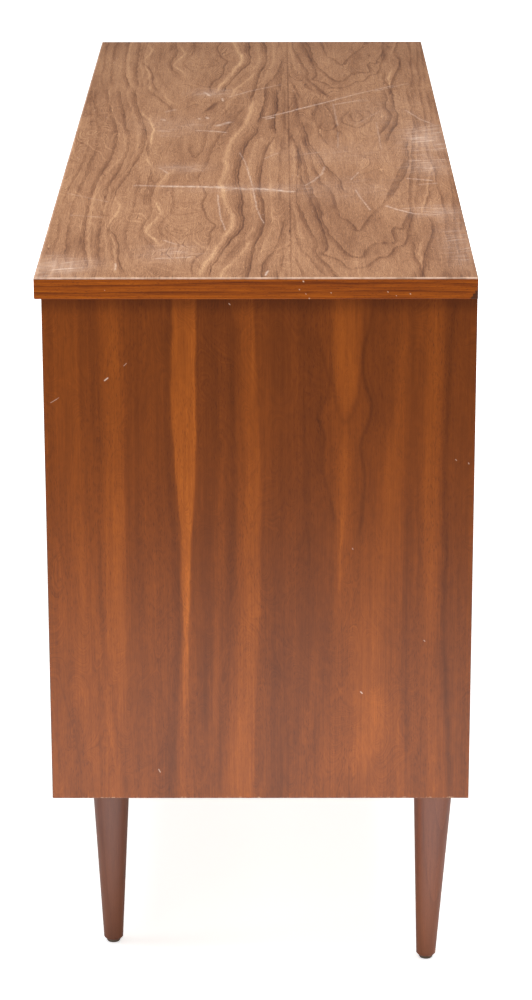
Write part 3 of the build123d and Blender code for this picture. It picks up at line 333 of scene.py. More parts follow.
TOP_LEAF_BACK = [
    (1, -0.35, 0.8, 4, 1, [246.5,1060, 248.5,1120, 251.5,1160, 255,1185, 262.5,1220, 270,1260,
     278,1295]),
    (1, -0.4, 0.8, 3, 1, [245,1200, 250,1240, 255.5,1290, 260,1340]),
    (2, -0.45, 0.8, 4, -1, [250,345, 254,420, 255,500, 258,550]),
    (3, -0.55, 0.9, 5, -1, [246,600, 250,660, 253.5,720, 253.5,780, 251.5,830, 250.5,900, 251,970,
     255,1010, 260,1060, 265,1110, 269,1150, 268.5,1195, 275,1225, 282.5,1260, 291.5,1295,
     296,1318]),
    (4, 0.45, 1.6, 4, 1, [247,640, 249,700, 249,800, 248,900, 247.5,980, 250,1040, 252,1100,
     256,1150]),
    (6, -0.6, 0.9, 5, -1, [251.5,660, 255,720, 256,790, 256,840, 260,900, 265,950, 270,1010,
     274,1060, 277.5,1120, 280,1150, 278.5,1180, 274.5,1195, 283,1208, 290,1220, 295,1243,
     301,1253, 315,1245, 322.5,1225, 330,1209, 336,1208, 341,1190, 346,1168, 355,1153, 359,1120,
     362.5,1080, 367.5,1035, 371,1000]),
    (8, -0.6, 0.9, 5, -1, [255,650, 258,720, 261,780, 264,850, 267,910, 272,960, 274.5,1000,
     276,1050, 280,1090, 283.5,1120, 290,1150, 296,1180, 300,1200, 306,1208, 313,1203, 317,1180,
     324,1156, 334,1148, 344.5,1146, 346.5,1125, 345,1100, 348.5,1079, 353,1086, 356.5,1083,
     358.5,1058, 362,1035, 369,990]),
    (11, -0.5, 0.8, 5, -1, [260,620, 264,680, 268,740, 271,800, 276,845, 276,865, 285,900,
     290,950, 292.5,1000, 295.5,1038, 302,1050, 307,1073, 310.5,1094, 314,1086, 320.5,1053,
     328,1018, 340.5,968, 350,900, 356.5,850, 364,800, 370.5,750]),
    (13, -0.62, 1.1, 8, -1, [258.5,520, 260.5,570, 264,620, 268,680, 274,715, 280,755, 285,800,
     292,830, 297,855, 299,890, 300,925]),
    (14, -0.35, 0.8, 4, -1, [276,400, 278,450, 274,500, 277,560, 281,620, 289,680]),
    (12, -0.6, 1.6, 5, -1, [278,332, 283,352, 288.5,372, 295,390]),
    (15, -0.4, 0.8, 4, 1, [287,400, 289,450, 295,500, 296,540, 299,600, 295,650]),
    (18, -0.5, 0.8, 3, -1, [320,458, 313,488, 307,512, 306.5,540, 314,560, 323,572, 332,552,
     340,524, 340,488, 334,474, 326,478, 320,458]),
    (20, -0.55, 0.9, 4, -1, [322.5,478, 317,502, 318,530, 324,538, 329.5,522, 328,496, 322.5,478]),
    (21, -0.5, 1.4, 0, 0, [322.5,492, 322,508, 323.5,524]),
    (17, -0.5, 0.8, 3, -1, [289,536, 282,552, 281,576, 288,590, 295,578, 297.5,554, 289,536]),
    (19, -0.55, 1.3, 0, 0, [288.5,552, 288.5,572]),
    (16, -0.3, 0.8, 4, 1, [300,690, 306,700, 311,712]),
    (17, -0.4, 0.9, 4, -1, [321.5,700, 324,722, 327,740, 331,720, 334,700]),
    (12, -0.65, 1, 5, -1, [361,330, 362,400, 358.5,450, 364,490, 361,540, 352,590, 343.5,628]),
    (10, -0.75, 1.1, 5, -1, [369,330, 370,400, 368.5,450, 372,500, 367.5,555, 358,620, 353,670]),
    (10, -0.65, 1.2, 6, -1, [378,640, 375,700, 374,760, 371,805, 364,850, 356,905, 347.5,950]),
    (7, -0.55, 0.8, 4, 1, [387.5,330, 388.5,450, 388,550, 383,650, 379.5,720, 377.5,780, 374,830,
     370,890, 368,950, 366,1010, 363,1060]),
    (7, -0.35, 0.8, 4, 1, [392,330, 393,450, 392,560, 388.5,660, 385,740, 383.5,800, 380,860,
     375.5,930, 372,990]),
    (8, -0.6, 1.1, 6, 1, [381,1020, 385.5,1050, 385.5,1100, 380.5,1140, 375.5,1180, 371.5,1220,
     369,1258, 369.5,1295]),
    (9, -0.55, 0.9, 4, -1, [366.5,1130, 364,1170, 363,1200, 366.5,1230, 367.5,1275, 364,1310]),
    (9, 0.6, 1.5, 3, 1, [374,1120, 371,1160, 368,1200, 369,1250]),
    (5, 0.45, 1.2, 3, 1, [400,760, 395,820, 390,880, 386,930, 381,980, 376,1030]),
    (5, -0.5, 0.8, 3, 1, [397.5,800, 393,860, 389,920, 384,975, 379,1020]),
    (4, -0.4, 0.8, 3.5, 1, [403,330, 403,480, 400,600, 396,700, 400,800, 400,900, 402,1000,
     400,1060, 398.5,1120, 397.5,1200, 392.5,1255]),
    (2, -0.35, 0.8, 3.5, 1, [411,330, 412,450, 408,560, 406,660, 411,760, 415,860, 411.5,1000,
     407.5,1100, 406,1200, 403,1255]),
    (1, -0.3, 0.8, 3, 1, [416,330, 417,480, 415,640, 416.5,800, 418,900, 416,1040, 413.5,1150,
     412,1255]),
]

# Ends: along runs down from the panel's top edge.
# A band is (tone, [along,fade], softness of each edge, [along,across] of each edge).
END_BANDS = [
    (0.8, [0,0.75, 100,1, 310,1, 380,0.6, 470,0.2, 512,0.1], 1.75, 1.75,
     [0,124, 60,123, 115,121.5, 150,124.5, 200,127.5, 235,130, 300,131, 350,132, 450,131, 512,129],
     [0,146.5, 60,146, 115,145, 150,146, 200,143, 235,140.5, 300,138, 350,136.5, 450,133.5,
      512,131]),
    (-0.42, [0,1, 250,0.8, 512,0.5], 2, 20,
     [0,147, 115,146, 150,147, 200,144.5, 235,141.5, 300,139.5, 350,138, 512,134],
     [0,176, 150,181, 300,176, 400,170, 512,161]),
    (0.24, [0,1, 512,1], 7, 1.5,
     [0,188, 100,190, 150,193.5, 225,192, 300,188, 400,183, 512,175],
     [0,201, 100,204, 150,206.5, 225,207, 300,206.5, 400,202.5, 512,199]),
    (-0.4, [0,1, 250,1, 400,0.6, 512,0.5], 2, 30,
     [0,202, 100,205, 150,207.5, 225,208, 300,207, 400,203, 512,199.5],
     [0,260, 150,265, 300,270, 400,250, 512,235]),
    (0.19, [0,1, 80,1, 125,0.6], 5, 5,
     [0,274.5, 60,276.5, 90,279.5, 117.5,285.5, 123,288.5, 125,289],
     [0,306, 60,303.5, 90,300.5, 112.5,294, 123,289.5, 125,289]),
    (-0.36, [0,0.9, 150,1, 230,0.7, 310,0.2, 380,0], 7, 12,
     [0,306, 60,303.5, 90,300.5, 123,289.5, 165,295, 230,298, 380,300],
     [0,345, 60,340, 125,334, 180,325, 230,325, 380,320]),
    (-0.26, [0,0.7, 60,1, 150,1, 230,0.6, 310,0], 15, 5,
     [0,235, 60,250, 125,260, 230,265, 310,265],
     [0,274.5, 60,276.5, 90,279.5, 123,288.5, 165,283, 310,283]),
    (-0.26, [0,1, 512,0.6], 8, 4, [0,76, 150,77, 300,80, 512,88],
     [0,123, 115,120.5, 150,123.5, 235,128.5, 350,129, 512,123]),
    (0.28, [0,0.7, 150,1, 350,1, 512,0.6], 6, 6,
     [0,54, 175,59, 350,56, 512,52], [0,71, 175,76, 350,74, 512,70]),
    (-0.2, [0,1, 512,0.6], 5, 4, [0,33, 175,37, 350,40, 512,50], [0,53, 175,56, 350,54, 512,59]),
    (0.29, [0,1, 512,0.7], 8, 6,
     [0,366, 175,365, 350,368, 512,375], [0,383, 175,382, 350,383, 512,391]),
    (-0.3, [0,1, 250,0.8, 512,0.6], 5, 10, [0,384, 175,382, 350,384, 512,392], [0,412, 512,412]),
    (-0.22, [0,0.9, 250,1, 512,0.4], 15, 6,
     [0,345, 250,345, 512,353], [0,365, 175,364, 350,366, 512,373]),
]
END_LINES = [
    (1, -0.2, 2, 8, 1, [6,0, 5,100, 7,210, 13,250, 19,295, 17,320]),
    (2, -0.25, 0.9, 4, 1, [10,215, 13.5,250, 20,280, 23,250, 22,215]),
    (3, -0.22, 0.8, 4, -1, [37,0, 38,90, 40,175, 43,250, 41,300, 45,350, 52,410, 59,465, 62,512]),
    (3, -0.3, 3.5, 9, 1, [46,0, 48,100, 50,175, 51.5,250, 52,320, 60,390, 67,450, 73,512]),
    (4, 0, 1, 0, 0, [60,0, 62,100, 66,175, 67,250, 66,320, 64,400, 60,512]),
    (5, -0.22, 0.8, 5, 1, [78,0, 79,90, 77,170, 78.5,240, 76,320, 78,400, 83,512]),
    (5, -0.25, 6, 0, 0, [88,0, 90,120, 89,230, 91,320, 95,410, 100,512]),
    (6, 0.12, 4, 0, 0, [103,100, 102,200, 103,280, 105,360]),
    (7, -0.45, 4.5, 10, -1, [120,0, 119,60, 118,115, 119,160, 122,210, 125,260, 127,310, 125,380,
     120,450, 118,512]),
    (8, 0, 1, 0, 0, [135,-10, 135,60, 133.5,115, 135,150, 135.5,200, 135.5,230]),
    (8, 0, 1, 0, 0, [135.5,200, 135,250, 135,300, 134.5,350, 133,400, 131,470]),
    (9, 0, 1, 0, 0, [149,-10, 148.5,60, 147,115, 149,150, 146,200, 144,250, 143,320, 142,380,
     143,450]),
    (10, -0.25, 6, 0, 0, [159,0, 160,150, 156,250, 153,350, 150,450]),
    (11, 0.28, 3.5, 0, 0, [168,150, 169,210, 168,270, 165,340, 161,410, 159,490]),
    (12, -0.4, 5, 0, 0, [180,0, 181,100, 182,190, 178,270, 176,350, 170,430, 163,512]),
    (13, 0, 1, 0, 0, [194,0, 197,100, 199,170, 199,250, 198,320, 194,390, 189,450, 184,512]),
    (14, 0, 1, 0, 0, [207,0, 208,100, 209,170, 210,250, 209,320, 206,380, 201,440, 195,512]),
    (15, -0.2, 8, 0, 0, [226,0, 225,150, 226,300, 223,410]),
    (15, 0.14, 5, 0, 0, [237,130, 239,210, 238,280, 241,350, 239,450]),
    (16, -0.25, 4, 0, 0, [250,0, 249,100, 252,200, 254,320, 252,430]),
    (17, -0.5, 1.8, 8, -1, [261,20, 265,50, 272.5,80, 270,100, 262,116, 269,136, 266.5,160,
     270,185, 278,215, 280,240]),
    (18, 0, 1, 0, 0, [290,-10, 290,40, 289,80, 288,102.5]),
    (18, -0.3, 1.6, 5, 1, [274,0, 274,50, 276,80, 280,105, 287,122, 295,116, 302,95, 305,60,
     306,0]),
    (17, -0.7, 2, 9, 1, [317,0, 311,30, 306,55, 307,80, 313,102.5, 311,125, 304,145, 308,175,
     306,210, 300,250]),
    (18, 0.26, 4.5, 0, 0, [287,135, 288,180, 287,220, 285,260]),
    (18, 0.5, 1.4, 0, 0, [287,200, 285.5,235, 285,270, 284.5,320]),
    (17, -0.24, 6, 0, 0, [278,250, 274,310, 270,380, 260,450, 250,512]),
    (16, -0.2, 0.9, 4, 1, [345,50, 347,130, 344,210, 346,280, 343,350, 345,430]),
    (15, -0.25, 5, 0, 0, [351,0, 352,120, 350,220, 349,320, 351,430, 360,512]),
    (16, 0.16, 9, 0, 0, [330,100, 328,200, 324,280, 318,350, 320,450]),
    (17, 0.34, 15, 0, 0, [300,390, 320,420, 310,460, 280,490]),
    (13, 0, 1, 0, 0, [373,-10, 372,80, 371,160, 372,250, 373,330, 376,400, 382,512]),
    (11, -0.45, 2.4, 8, -1, [396,-10, 389,30, 387,100, 384,175, 387,250, 385,330, 390,410,
     395,512]),
    (11, -0.35, 0.8, 4, 1, [359,30, 358,100, 357,180, 361,250, 358,330]),
    (9, -0.25, 1.2, 6, 1, [403,0, 401.5,45, 400,130, 403,210, 400,300, 404,400, 406,512]),
    (9, -0.9, 2.4, 0, 0, [400,43, 400.5,47]),
    (5, -0.45, 1.8, 0, 0, [90,28.5, 90.5,31.5]),
    (6, -0.55, 2, 0, 0, [103,250.5, 104,254]),
    (11, -0.55, 2, 0, 0, [160.5,266, 161.5,269.5]),
    (12, -0.35, 1.6, 0, 0, [176,44.5, 177,47.5]),
    (2, -0.28, 1, 7, 1, [7,350, 11,390, 22,435, 28,480, 30,512]),
    (1, -0.22, 1, 5, 1, [3,430, 7,460, 12,512]),
]
CURVE_STEP = 2.5        # mm between points on a drawn line
CONTROL_STEP = 45       # mm between the points that hold the ring level
ALONG_WEIGHT = 0.28     # rings vary this much slower along the grain than across


def smoothstep(t):
    return t * t * (3 - 2 * t)


def catmull(points, step):
    """Catmull-Rom curve through flat x,y pairs."""
    through = np.array(points, float).reshape(-1, 2)
    through = np.vstack([2 * through[0] - through[1], through, 2 * through[-1] - through[-2]])
    out = []
    for i in range(1, len(through) - 2):
        a, b, c, d = through[i - 1:i + 3]
        count = max(2, int(np.linalg.norm(c - b) / step))
        t = np.linspace(0, 1, count, endpoint=False)[:, None]
        out.append(0.5 * ((2 * b) + (c - a) * t + (2 * a - 5 * b + 4 * c - d) * t ** 2
                          + (3 * b - a - 3 * c + d) * t ** 3))
    out.append(through[-2][None])
    return np.vstack(out)


def smooth_noise(shape, cells, seed):
    """Smooth value noise on a grid, -1..1."""
    rng = np.random.default_rng(seed)
    values = rng.uniform(-1, 1, (cells[0] + 3, cells[1] + 3))

    def axis(count, cell_count):
        x = np.linspace(0, cell_count, count)
        whole = np.floor(x).astype(int)
        part = x - whole
        return whole, part * part * (3 - 2 * part)
    i, fi = axis(shape[0], cells[0])
    j, fj = axis(shape[1], cells[1])
    low = values[np.ix_(i, j)] * (1 - fj) + values[np.ix_(i, j + 1)] * fj
    high = values[np.ix_(i + 1, j)] * (1 - fj) + values[np.ix_(i + 1, j + 1)] * fj
    return low * (1 - fi[:, None]) + high * fi[:, None]


def nearest_on_curve(along, across, curve, normals, strength, reach):
    """Distance, signed offset and strength of the nearest curve point, on the grid."""
    shape = len(along), len(across)
    distance = np.full(shape, 1e9)
    offset, level = np.zeros(shape), np.zeros(shape)
    step_a, step_b = along[1] - along[0], across[1] - across[0]
    reach_a, reach_b = int(reach / step_a) + 2, int(reach / step_b) + 2
    for (x, y), (nx, ny), power in zip(curve, normals, strength):
        i = int(round((y - along[0]) / step_a))
        j = int(round((x - across[0]) / step_b))
        i0, i1 = max(i - reach_a, 0), min(i + reach_a + 1, shape[0])
        j0, j1 = max(j - reach_b, 0), min(j + reach_b + 1, shape[1])
        if i0 >= i1 or j0 >= j1:
            continue
        dy = along[i0:i1, None] - y
        dx = across[None, j0:j1] - x
        here = np.sqrt(dx * dx + dy * dy * 0.5)
        box = distance[i0:i1, j0:j1]
        closer = here < box
        box[closer] = here[closer]
        offset[i0:i1, j0:j1][closer] = (dx * nx + dy * ny)[closer]
        level[i0:i1, j0:j1][closer] = power
    return distance, offset, level


def ring_field(along, across, control, levels):
    """Ring level interpolated between the control points, solved on every third grid line."""
    weights = np.array([1.0, ALONG_WEIGHT])
    centres = control * weights
    kernel = np.linalg.norm(centres[:, None] - centres[None], axis=2)
    factors = np.linalg.solve(kernel + np.eye(len(centres)) * 10.0, levels - levels.mean())
    coarse_a, coarse_b = along[::3], across[::3]
    spots = np.stack(np.meshgrid(coarse_b, coarse_a), -1).reshape(-1, 2) * weights
    ring = np.concatenate([
        np.linalg.norm(spots[k:k + 4000, None] - centres[None], axis=2) @ factors
        for k in range(0, len(spots), 4000)]) + levels.mean()
    ring = ring.reshape(len(coarse_a), len(coarse_b))
    ring = np.stack([np.interp(across, coarse_b, row) for row in ring])
    return np.stack([np.interp(along, coarse_a, ring[:, k]) for k in range(len(across))], 1)


def figure(along, across, lines, seed, period=None, narrow=1.0):
    """Tone (-1 dark .. +1 light) and ring level on a grid; along and across are in mm."""
    tone = np.zeros((len(along), len(across)))
    rng = np.random.default_rng(seed)
    control, levels = [], []
    shifts = (0.0,) if period is None else (-period, 0.0, period)
    for level, amplitude, core, soft, side, points in lines:
        core, soft = core * narrow, soft * narrow
        drawn = catmull(points, CURVE_STEP)
        s = np.linspace(0, 1, len(drawn))
        length = np.sum(np.linalg.norm(np.diff(drawn, axis=0), axis=1))
        # sway the line sideways at three wavelengths, mm
        wobble = sum(rng.uniform(0.15, 0.5)
                     * np.sin(2 * math.pi * (s * length / wave + rng.uniform()))
                     for wave in (37, 61, 113))
        tangent = np.gradient(drawn, axis=0)
        tangent /= np.linalg.norm(tangent, axis=1)[:, None] + 1e-9
        normals = np.stack([tangent[:, 1], -tangent[:, 0]], 1)
        drawn = drawn + normals * wobble[:, None]
        taper = np.clip(np.minimum(s, 1 - s) * length / 28.0, 0, 1)
        # two faint companion lines on the soft side
        inner, outer = soft * rng.uniform(0.45, 0.6), soft * rng.uniform(0.95, 1.25)
        swell = np.sin(2 * math.pi * (s * length / 150 + rng.uniform()))
        strength = taper * (1.0 + 0.15 * swell)
        for shift in shifts:
            curve = drawn + np.array([0.0, shift])
            if curve[:, 1].max() < along[0] - 30 or curve[:, 1].min() > along[-1] + 30:
                continue
            distance, offset, power = nearest_on_curve(
                along, across, curve, normals, strength, reach=2.6 * max(core, soft))
            near = distance < 1e8
            off = offset[near]
            profile = np.exp(-(off / core) ** 2)
            if soft > 0:
                fall = 0.34 * np.exp(-(distance[near] / soft) ** 1.5)
                profile = np.maximum(profile, np.where(np.sign(off) == side, fall, 0))
                profile = (profile + 0.42 * np.exp(-((off * side - inner) / 0.55) ** 2)
                           + 0.26 * np.exp(-((off * side - outer) / 0.55) ** 2))
            tone[near] += amplitude * profile * power[near]
            for spot in curve[::int(CONTROL_STEP / CURVE_STEP)]:
                control.append(spot)
                levels.append(level)
    control, levels = np.array(control), np.array(levels, float)
    keep = (control[:, 1] > along[0] - 250) & (control[:, 1] < along[-1] + 250)
    return tone, ring_field(along, across, control[keep], levels[keep])


def bands(along, across, items):
    """Tone of soft-edged bands whose edges waver slightly."""
    def follow(pairs):
        return np.interp(along, pairs[::2], pairs[1::2])

    def rise(edge, softness):
        return smoothstep(np.clip((across[None, :] - edge[:, None]) / softness + 0.5, 0, 1))
    tone = np.zeros((len(along), len(across)))
    for amplitude, fade, soft_0, soft_1, edge_0, edge_1 in items:
        start = (follow(edge_0) + 0.5 * np.sin(along / 17.0 + amplitude * 40)
                 + 0.3 * np.sin(along / 6.3 + amplitude * 90))
        end = (follow(edge_1) + 0.5 * np.sin(along / 14.0 + amplitude * 70)
               + 0.3 * np.sin(along / 7.1 + amplitude * 10))
        inside = rise(start, soft_0) * (1 - rise(end, soft_1))
        tone += amplitude * follow(fade)[:, None] * inside
    return tone


def grid(x, y, z):
    """Grid of points from coordinates that broadcast together."""
    return np.stack(np.broadcast_arrays(x, y, z), -1)


def sheet(name, material, points, inward, thick, bevel, attributes, trim=None):
    """A closed sheet on the cabinet; points is its outer face, rows x columns x 3."""
    rows, columns = points.shape[:2]
    inward = np.array(inward, float)
    index = np.arange(rows * columns).reshape(rows, columns)
    faces = np.stack([index[:-1, :-1], index[1:, :-1], index[1:, 1:], index[:-1, 1:]],
                     -1).reshape(-1, 4).tolist()
    rim = np.concatenate([index[0, :], index[1:, -1], index[-1, -2::-1], index[-2:0:-1, 0]])
    flat = points.reshape(-1, 3)
    edge = flat[rim]
    # bevel loop: outward in the plane, and down by the bevel
    low, high = edge.min(0), edge.max(0)
    out = np.zeros_like(edge)
    for k in range(3):
        if abs(inward[k]) < 0.5:
            out[:, k] += (np.where(np.abs(edge[:, k] - high[k]) < 1e-6, bevel, 0)
                          - np.where(np.abs(edge[:, k] - low[k]) < 1e-6, bevel, 0))
    loops = [edge + out + inward * depth for depth in (bevel, thick)]
    if trim is not None:
        loops = [trim(loop) for loop in loops]
    first, count = rows * columns, len(rim)
    for k in range(count):
        after = (k + 1) % count
        faces.append([rim[after], rim[k], first + k, first + after])
        faces.append([first + after, first + k, first + count + k, first + count + after])
    # back: strips between the two sides, the end strips taking in the whole end edge
    back = (first + count + np.arange(count)).tolist()
    side_1 = back[columns - 1:columns - 1 + rows]
    side_0 = [back[0]] + back[:-rows:-1]
    corner = columns + rows - 2
    faces.append([side_0[1]] + back[:columns] + [side_1[1]])
    for i in range(1, rows - 2):
        faces.append([side_0[i + 1], side_0[i], side_1[i], side_1[i + 1]])
    faces.append([side_1[rows - 2]] + back[corner:corner + columns] + [side_0[rows - 2]])
    vertices = np.vstack([flat, *loops])
    mesh = bpy.data.meshes.new(name)
    mesh.from_pydata(vertices.tolist(), [], [[int(v) for v in face] for face in faces])
    for key, values in attributes.items():
        values = values.reshape(-1)
        full = np.concatenate([values, values[rim], values[rim]]).astype(np.float32)
        mesh.attributes.new(key, "FLOAT", "POINT").data.foreach_set("value", full)
    mesh.update()
    shell = bmesh.new()
    shell.from_mesh(mesh)
    bmesh.ops.recalc_face_normals(shell, faces=shell.faces)
    shell.to_mesh(mesh)
    shell.free()
    made = bpy.data.objects.new(name, mesh)
    bpy.context.scene.collection.objects.link(made)
    mesh.materials.append(material)
    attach(made, "cabinet")
    return made


# =====================================================================
# materials
# =====================================================================
# Wear on the top: strokes (x0, y0, x1, y1, half width, strength), mm in plan.
TOP_STROKES = [
    (-130, -8, -173, 28, 2.2, 0.95), (-175, 28, -221, 64, 2.4, 1), (-221, 64, -275, 103, 2, 0.85),
    (-275, 103, -333, 150.5, 1.6, 0.8), (-123, -4, -133, 4, 3, 0.9),
    (-260, -49.5, -300, -22, 1.6, 0.7), (-300, -22, -339, 13, 1.6, 0.65),
    (-209, 76, -243, 112, 2.2, 0.6), (-227, 98, -235, 116, 2, 0.4),
    (239, -142, 243, -99.5, 4, 0.55), (243, -112, 247, -49.5, 5.5, 0.95),
    (251, -54.5, 255, -7, 4.5, 0.8), (259, -32, 261, 13, 3, 0.7), (255, -12, 269, 23, 5.5, 1),
    (339, 122, 355, 131, 2.6, 0.8), (355, 131, 375, 149, 2.6, 0.9), (375, 149, 379, 173, 2.4, 0.9),
    (351, 138, 345, 162, 2.2, 0.7), (345, 162, 355, 181, 2, 0.6), (363, 158, 371, 178, 2, 0.6),
    (150, -24.5, 255, -17, 1.2, 0.65), (255, -17, 340, -13.5, 1.2, 0.7),
    (340, -13.5, 417, -5.5, 1.1, 0.6), (285, -54.5, 395, -49, 1.2, 0.7),
    (395, -49, 447, -43.5, 1.1, 0.6), (493, -103.5, 518, -84, 2.4, 0.6),
    (568, -109, 563, -77, 2.6, 0.7), (532, -106, 527, -91, 3.2, 0.6), (539, -90, 545, -80, 2.6, 0.6),
    (636, -3, 618, -0.5, 1.5, 1), (587, -147, 615, -146, 1.3, 0.9), (277, -212, 317, -168, 1.2, 0.5),
    (380, -202, 389, -169, 1.4, 0.5), (260, 91, 300, 95, 1.4, 0.6), (300, 95, 358, 104, 1.4, 0.6),
    (145, 59.5, 183, 56, 2, 0.55), (183, 56, 221, 46, 2, 0.6), (217, 48, 241, 37, 1.8, 0.55),
    (213, 87, 173, 96, 1.2, 0.6), (-83, -61, -104, -46, 4.6, 0.75),
    (-121, -126, -115, -123, 3.2, 0.9), (-127, -83, -121, -82, 2.4, 0.9),
    (-133, -74, -126, -72.5, 2.8, 1), (-287, -79, -267, -73, 3.4, 0.9),
    (-273, -72, -279, -59, 2, 0.7), (-250, -58, -233, -56, 1.6, 1), (-55, -84, -51, -66, 3.4, 0.7),
    (-53, -66, -44, -51, 3.6, 0.75), (-53, -126, -51, -115, 4, 0.6),
    (-167, -122, -179, -113, 3.6, 0.5), (-25, -124, -21, -102, 2, 0.4), (100, -6, 73, 9, 1.8, 0.5),
    (83, 28, 67, 56, 2, 0.5), (70, -33, 155, -23, 1.1, 0.6), (473, 175.5, 477, 198, 1.8, 0.6),
    (572, 177, 573, 192, 1.8, 0.6), (-297, 128, -345, 168, 1.4, 0.5),
    (-175, 160, -125, 173, 1.8, 0.6), (-125, 173, -89, 189, 1.8, 0.6),
    (-85, 98, -167, 128, 1.2, 0.4), (-35, 156, -65, 178, 2.2, 0.6), (-73, 173, -85, 197, 2.6, 0.7),
    (15, 161, -13, 184, 2.6, 0.6), (60, 163, 45, 197, 2.4, 0.6), (113, 154, 107, 192, 3, 0.7),
    (147, 159, 155, 178, 2.6, 0.7), (205, 148, 215, 173, 3, 0.7), (235, 160, 229, 178, 2.4, 0.6),
    (151, -119, 179, -109, 1.8, 0.6), (141, -104, 147, -88, 1.6, 0.45),
    (147, -88, 167, -72, 1.6, 0.5), (-100, 123, 55, 125, 1.6, 0.35), (-215, 75, -85, 78, 1.6, 0.35),
    (-45, 78, 45, 76, 1.4, 0.35),
]
# Chips in the right-hand end: strokes (y0, z0, y1, z1, half width, strength), mm.
END_STROKES = [
    (-156.5, 629, -153.5, 631.5, 1.3, 0.95), (-138, 643.5, -135.5, 646, 0.8, 0.5),
    (-208.5, 607, -202.5, 610.5, 0.7, 0.5), (-205.5, 609, -200.5, 612, 0.6, 0.4),
    (90, 311, 91.5, 309.5, 1.2, 0.9), (81, 460, 81.5, 459, 0.8, 0.7),
    (151.5, 365, 152.5, 364, 0.8, 0.7), (179.5, 550, 180.5, 549, 0.8, 0.6),
    (192, 546.5, 192.5, 545.5, 0.9, 0.6), (-37.5, 704.5, -36.5, 703.5, 0.9, 0.8),
    (-109.5, 229, -108, 226, 1.0, 0.6),
]
# Nicks in the top's edge band at the right-hand end: (y, z, half width, strength), mm.
EDGE_NICKS = [
    (32.7, 727.5, 1.1, 1.0), (29.0, 719.5, 0.8, 0.9), (35.1, 715.3, 0.7, 0.7),
    (58.9, 716.4, 0.7, 0.8), (38.4, 710.8, 0.9, 0.9), (112.6, 717.2, 0.8, 0.9),
    (120.6, 713.5, 0.6, 0.7), (133.8, 715.3, 0.9, 0.9), (-155.0, 719.0, 0.6, 0.5),
]
NICK_RUN = 0.4          # mm a nick runs to the back and down


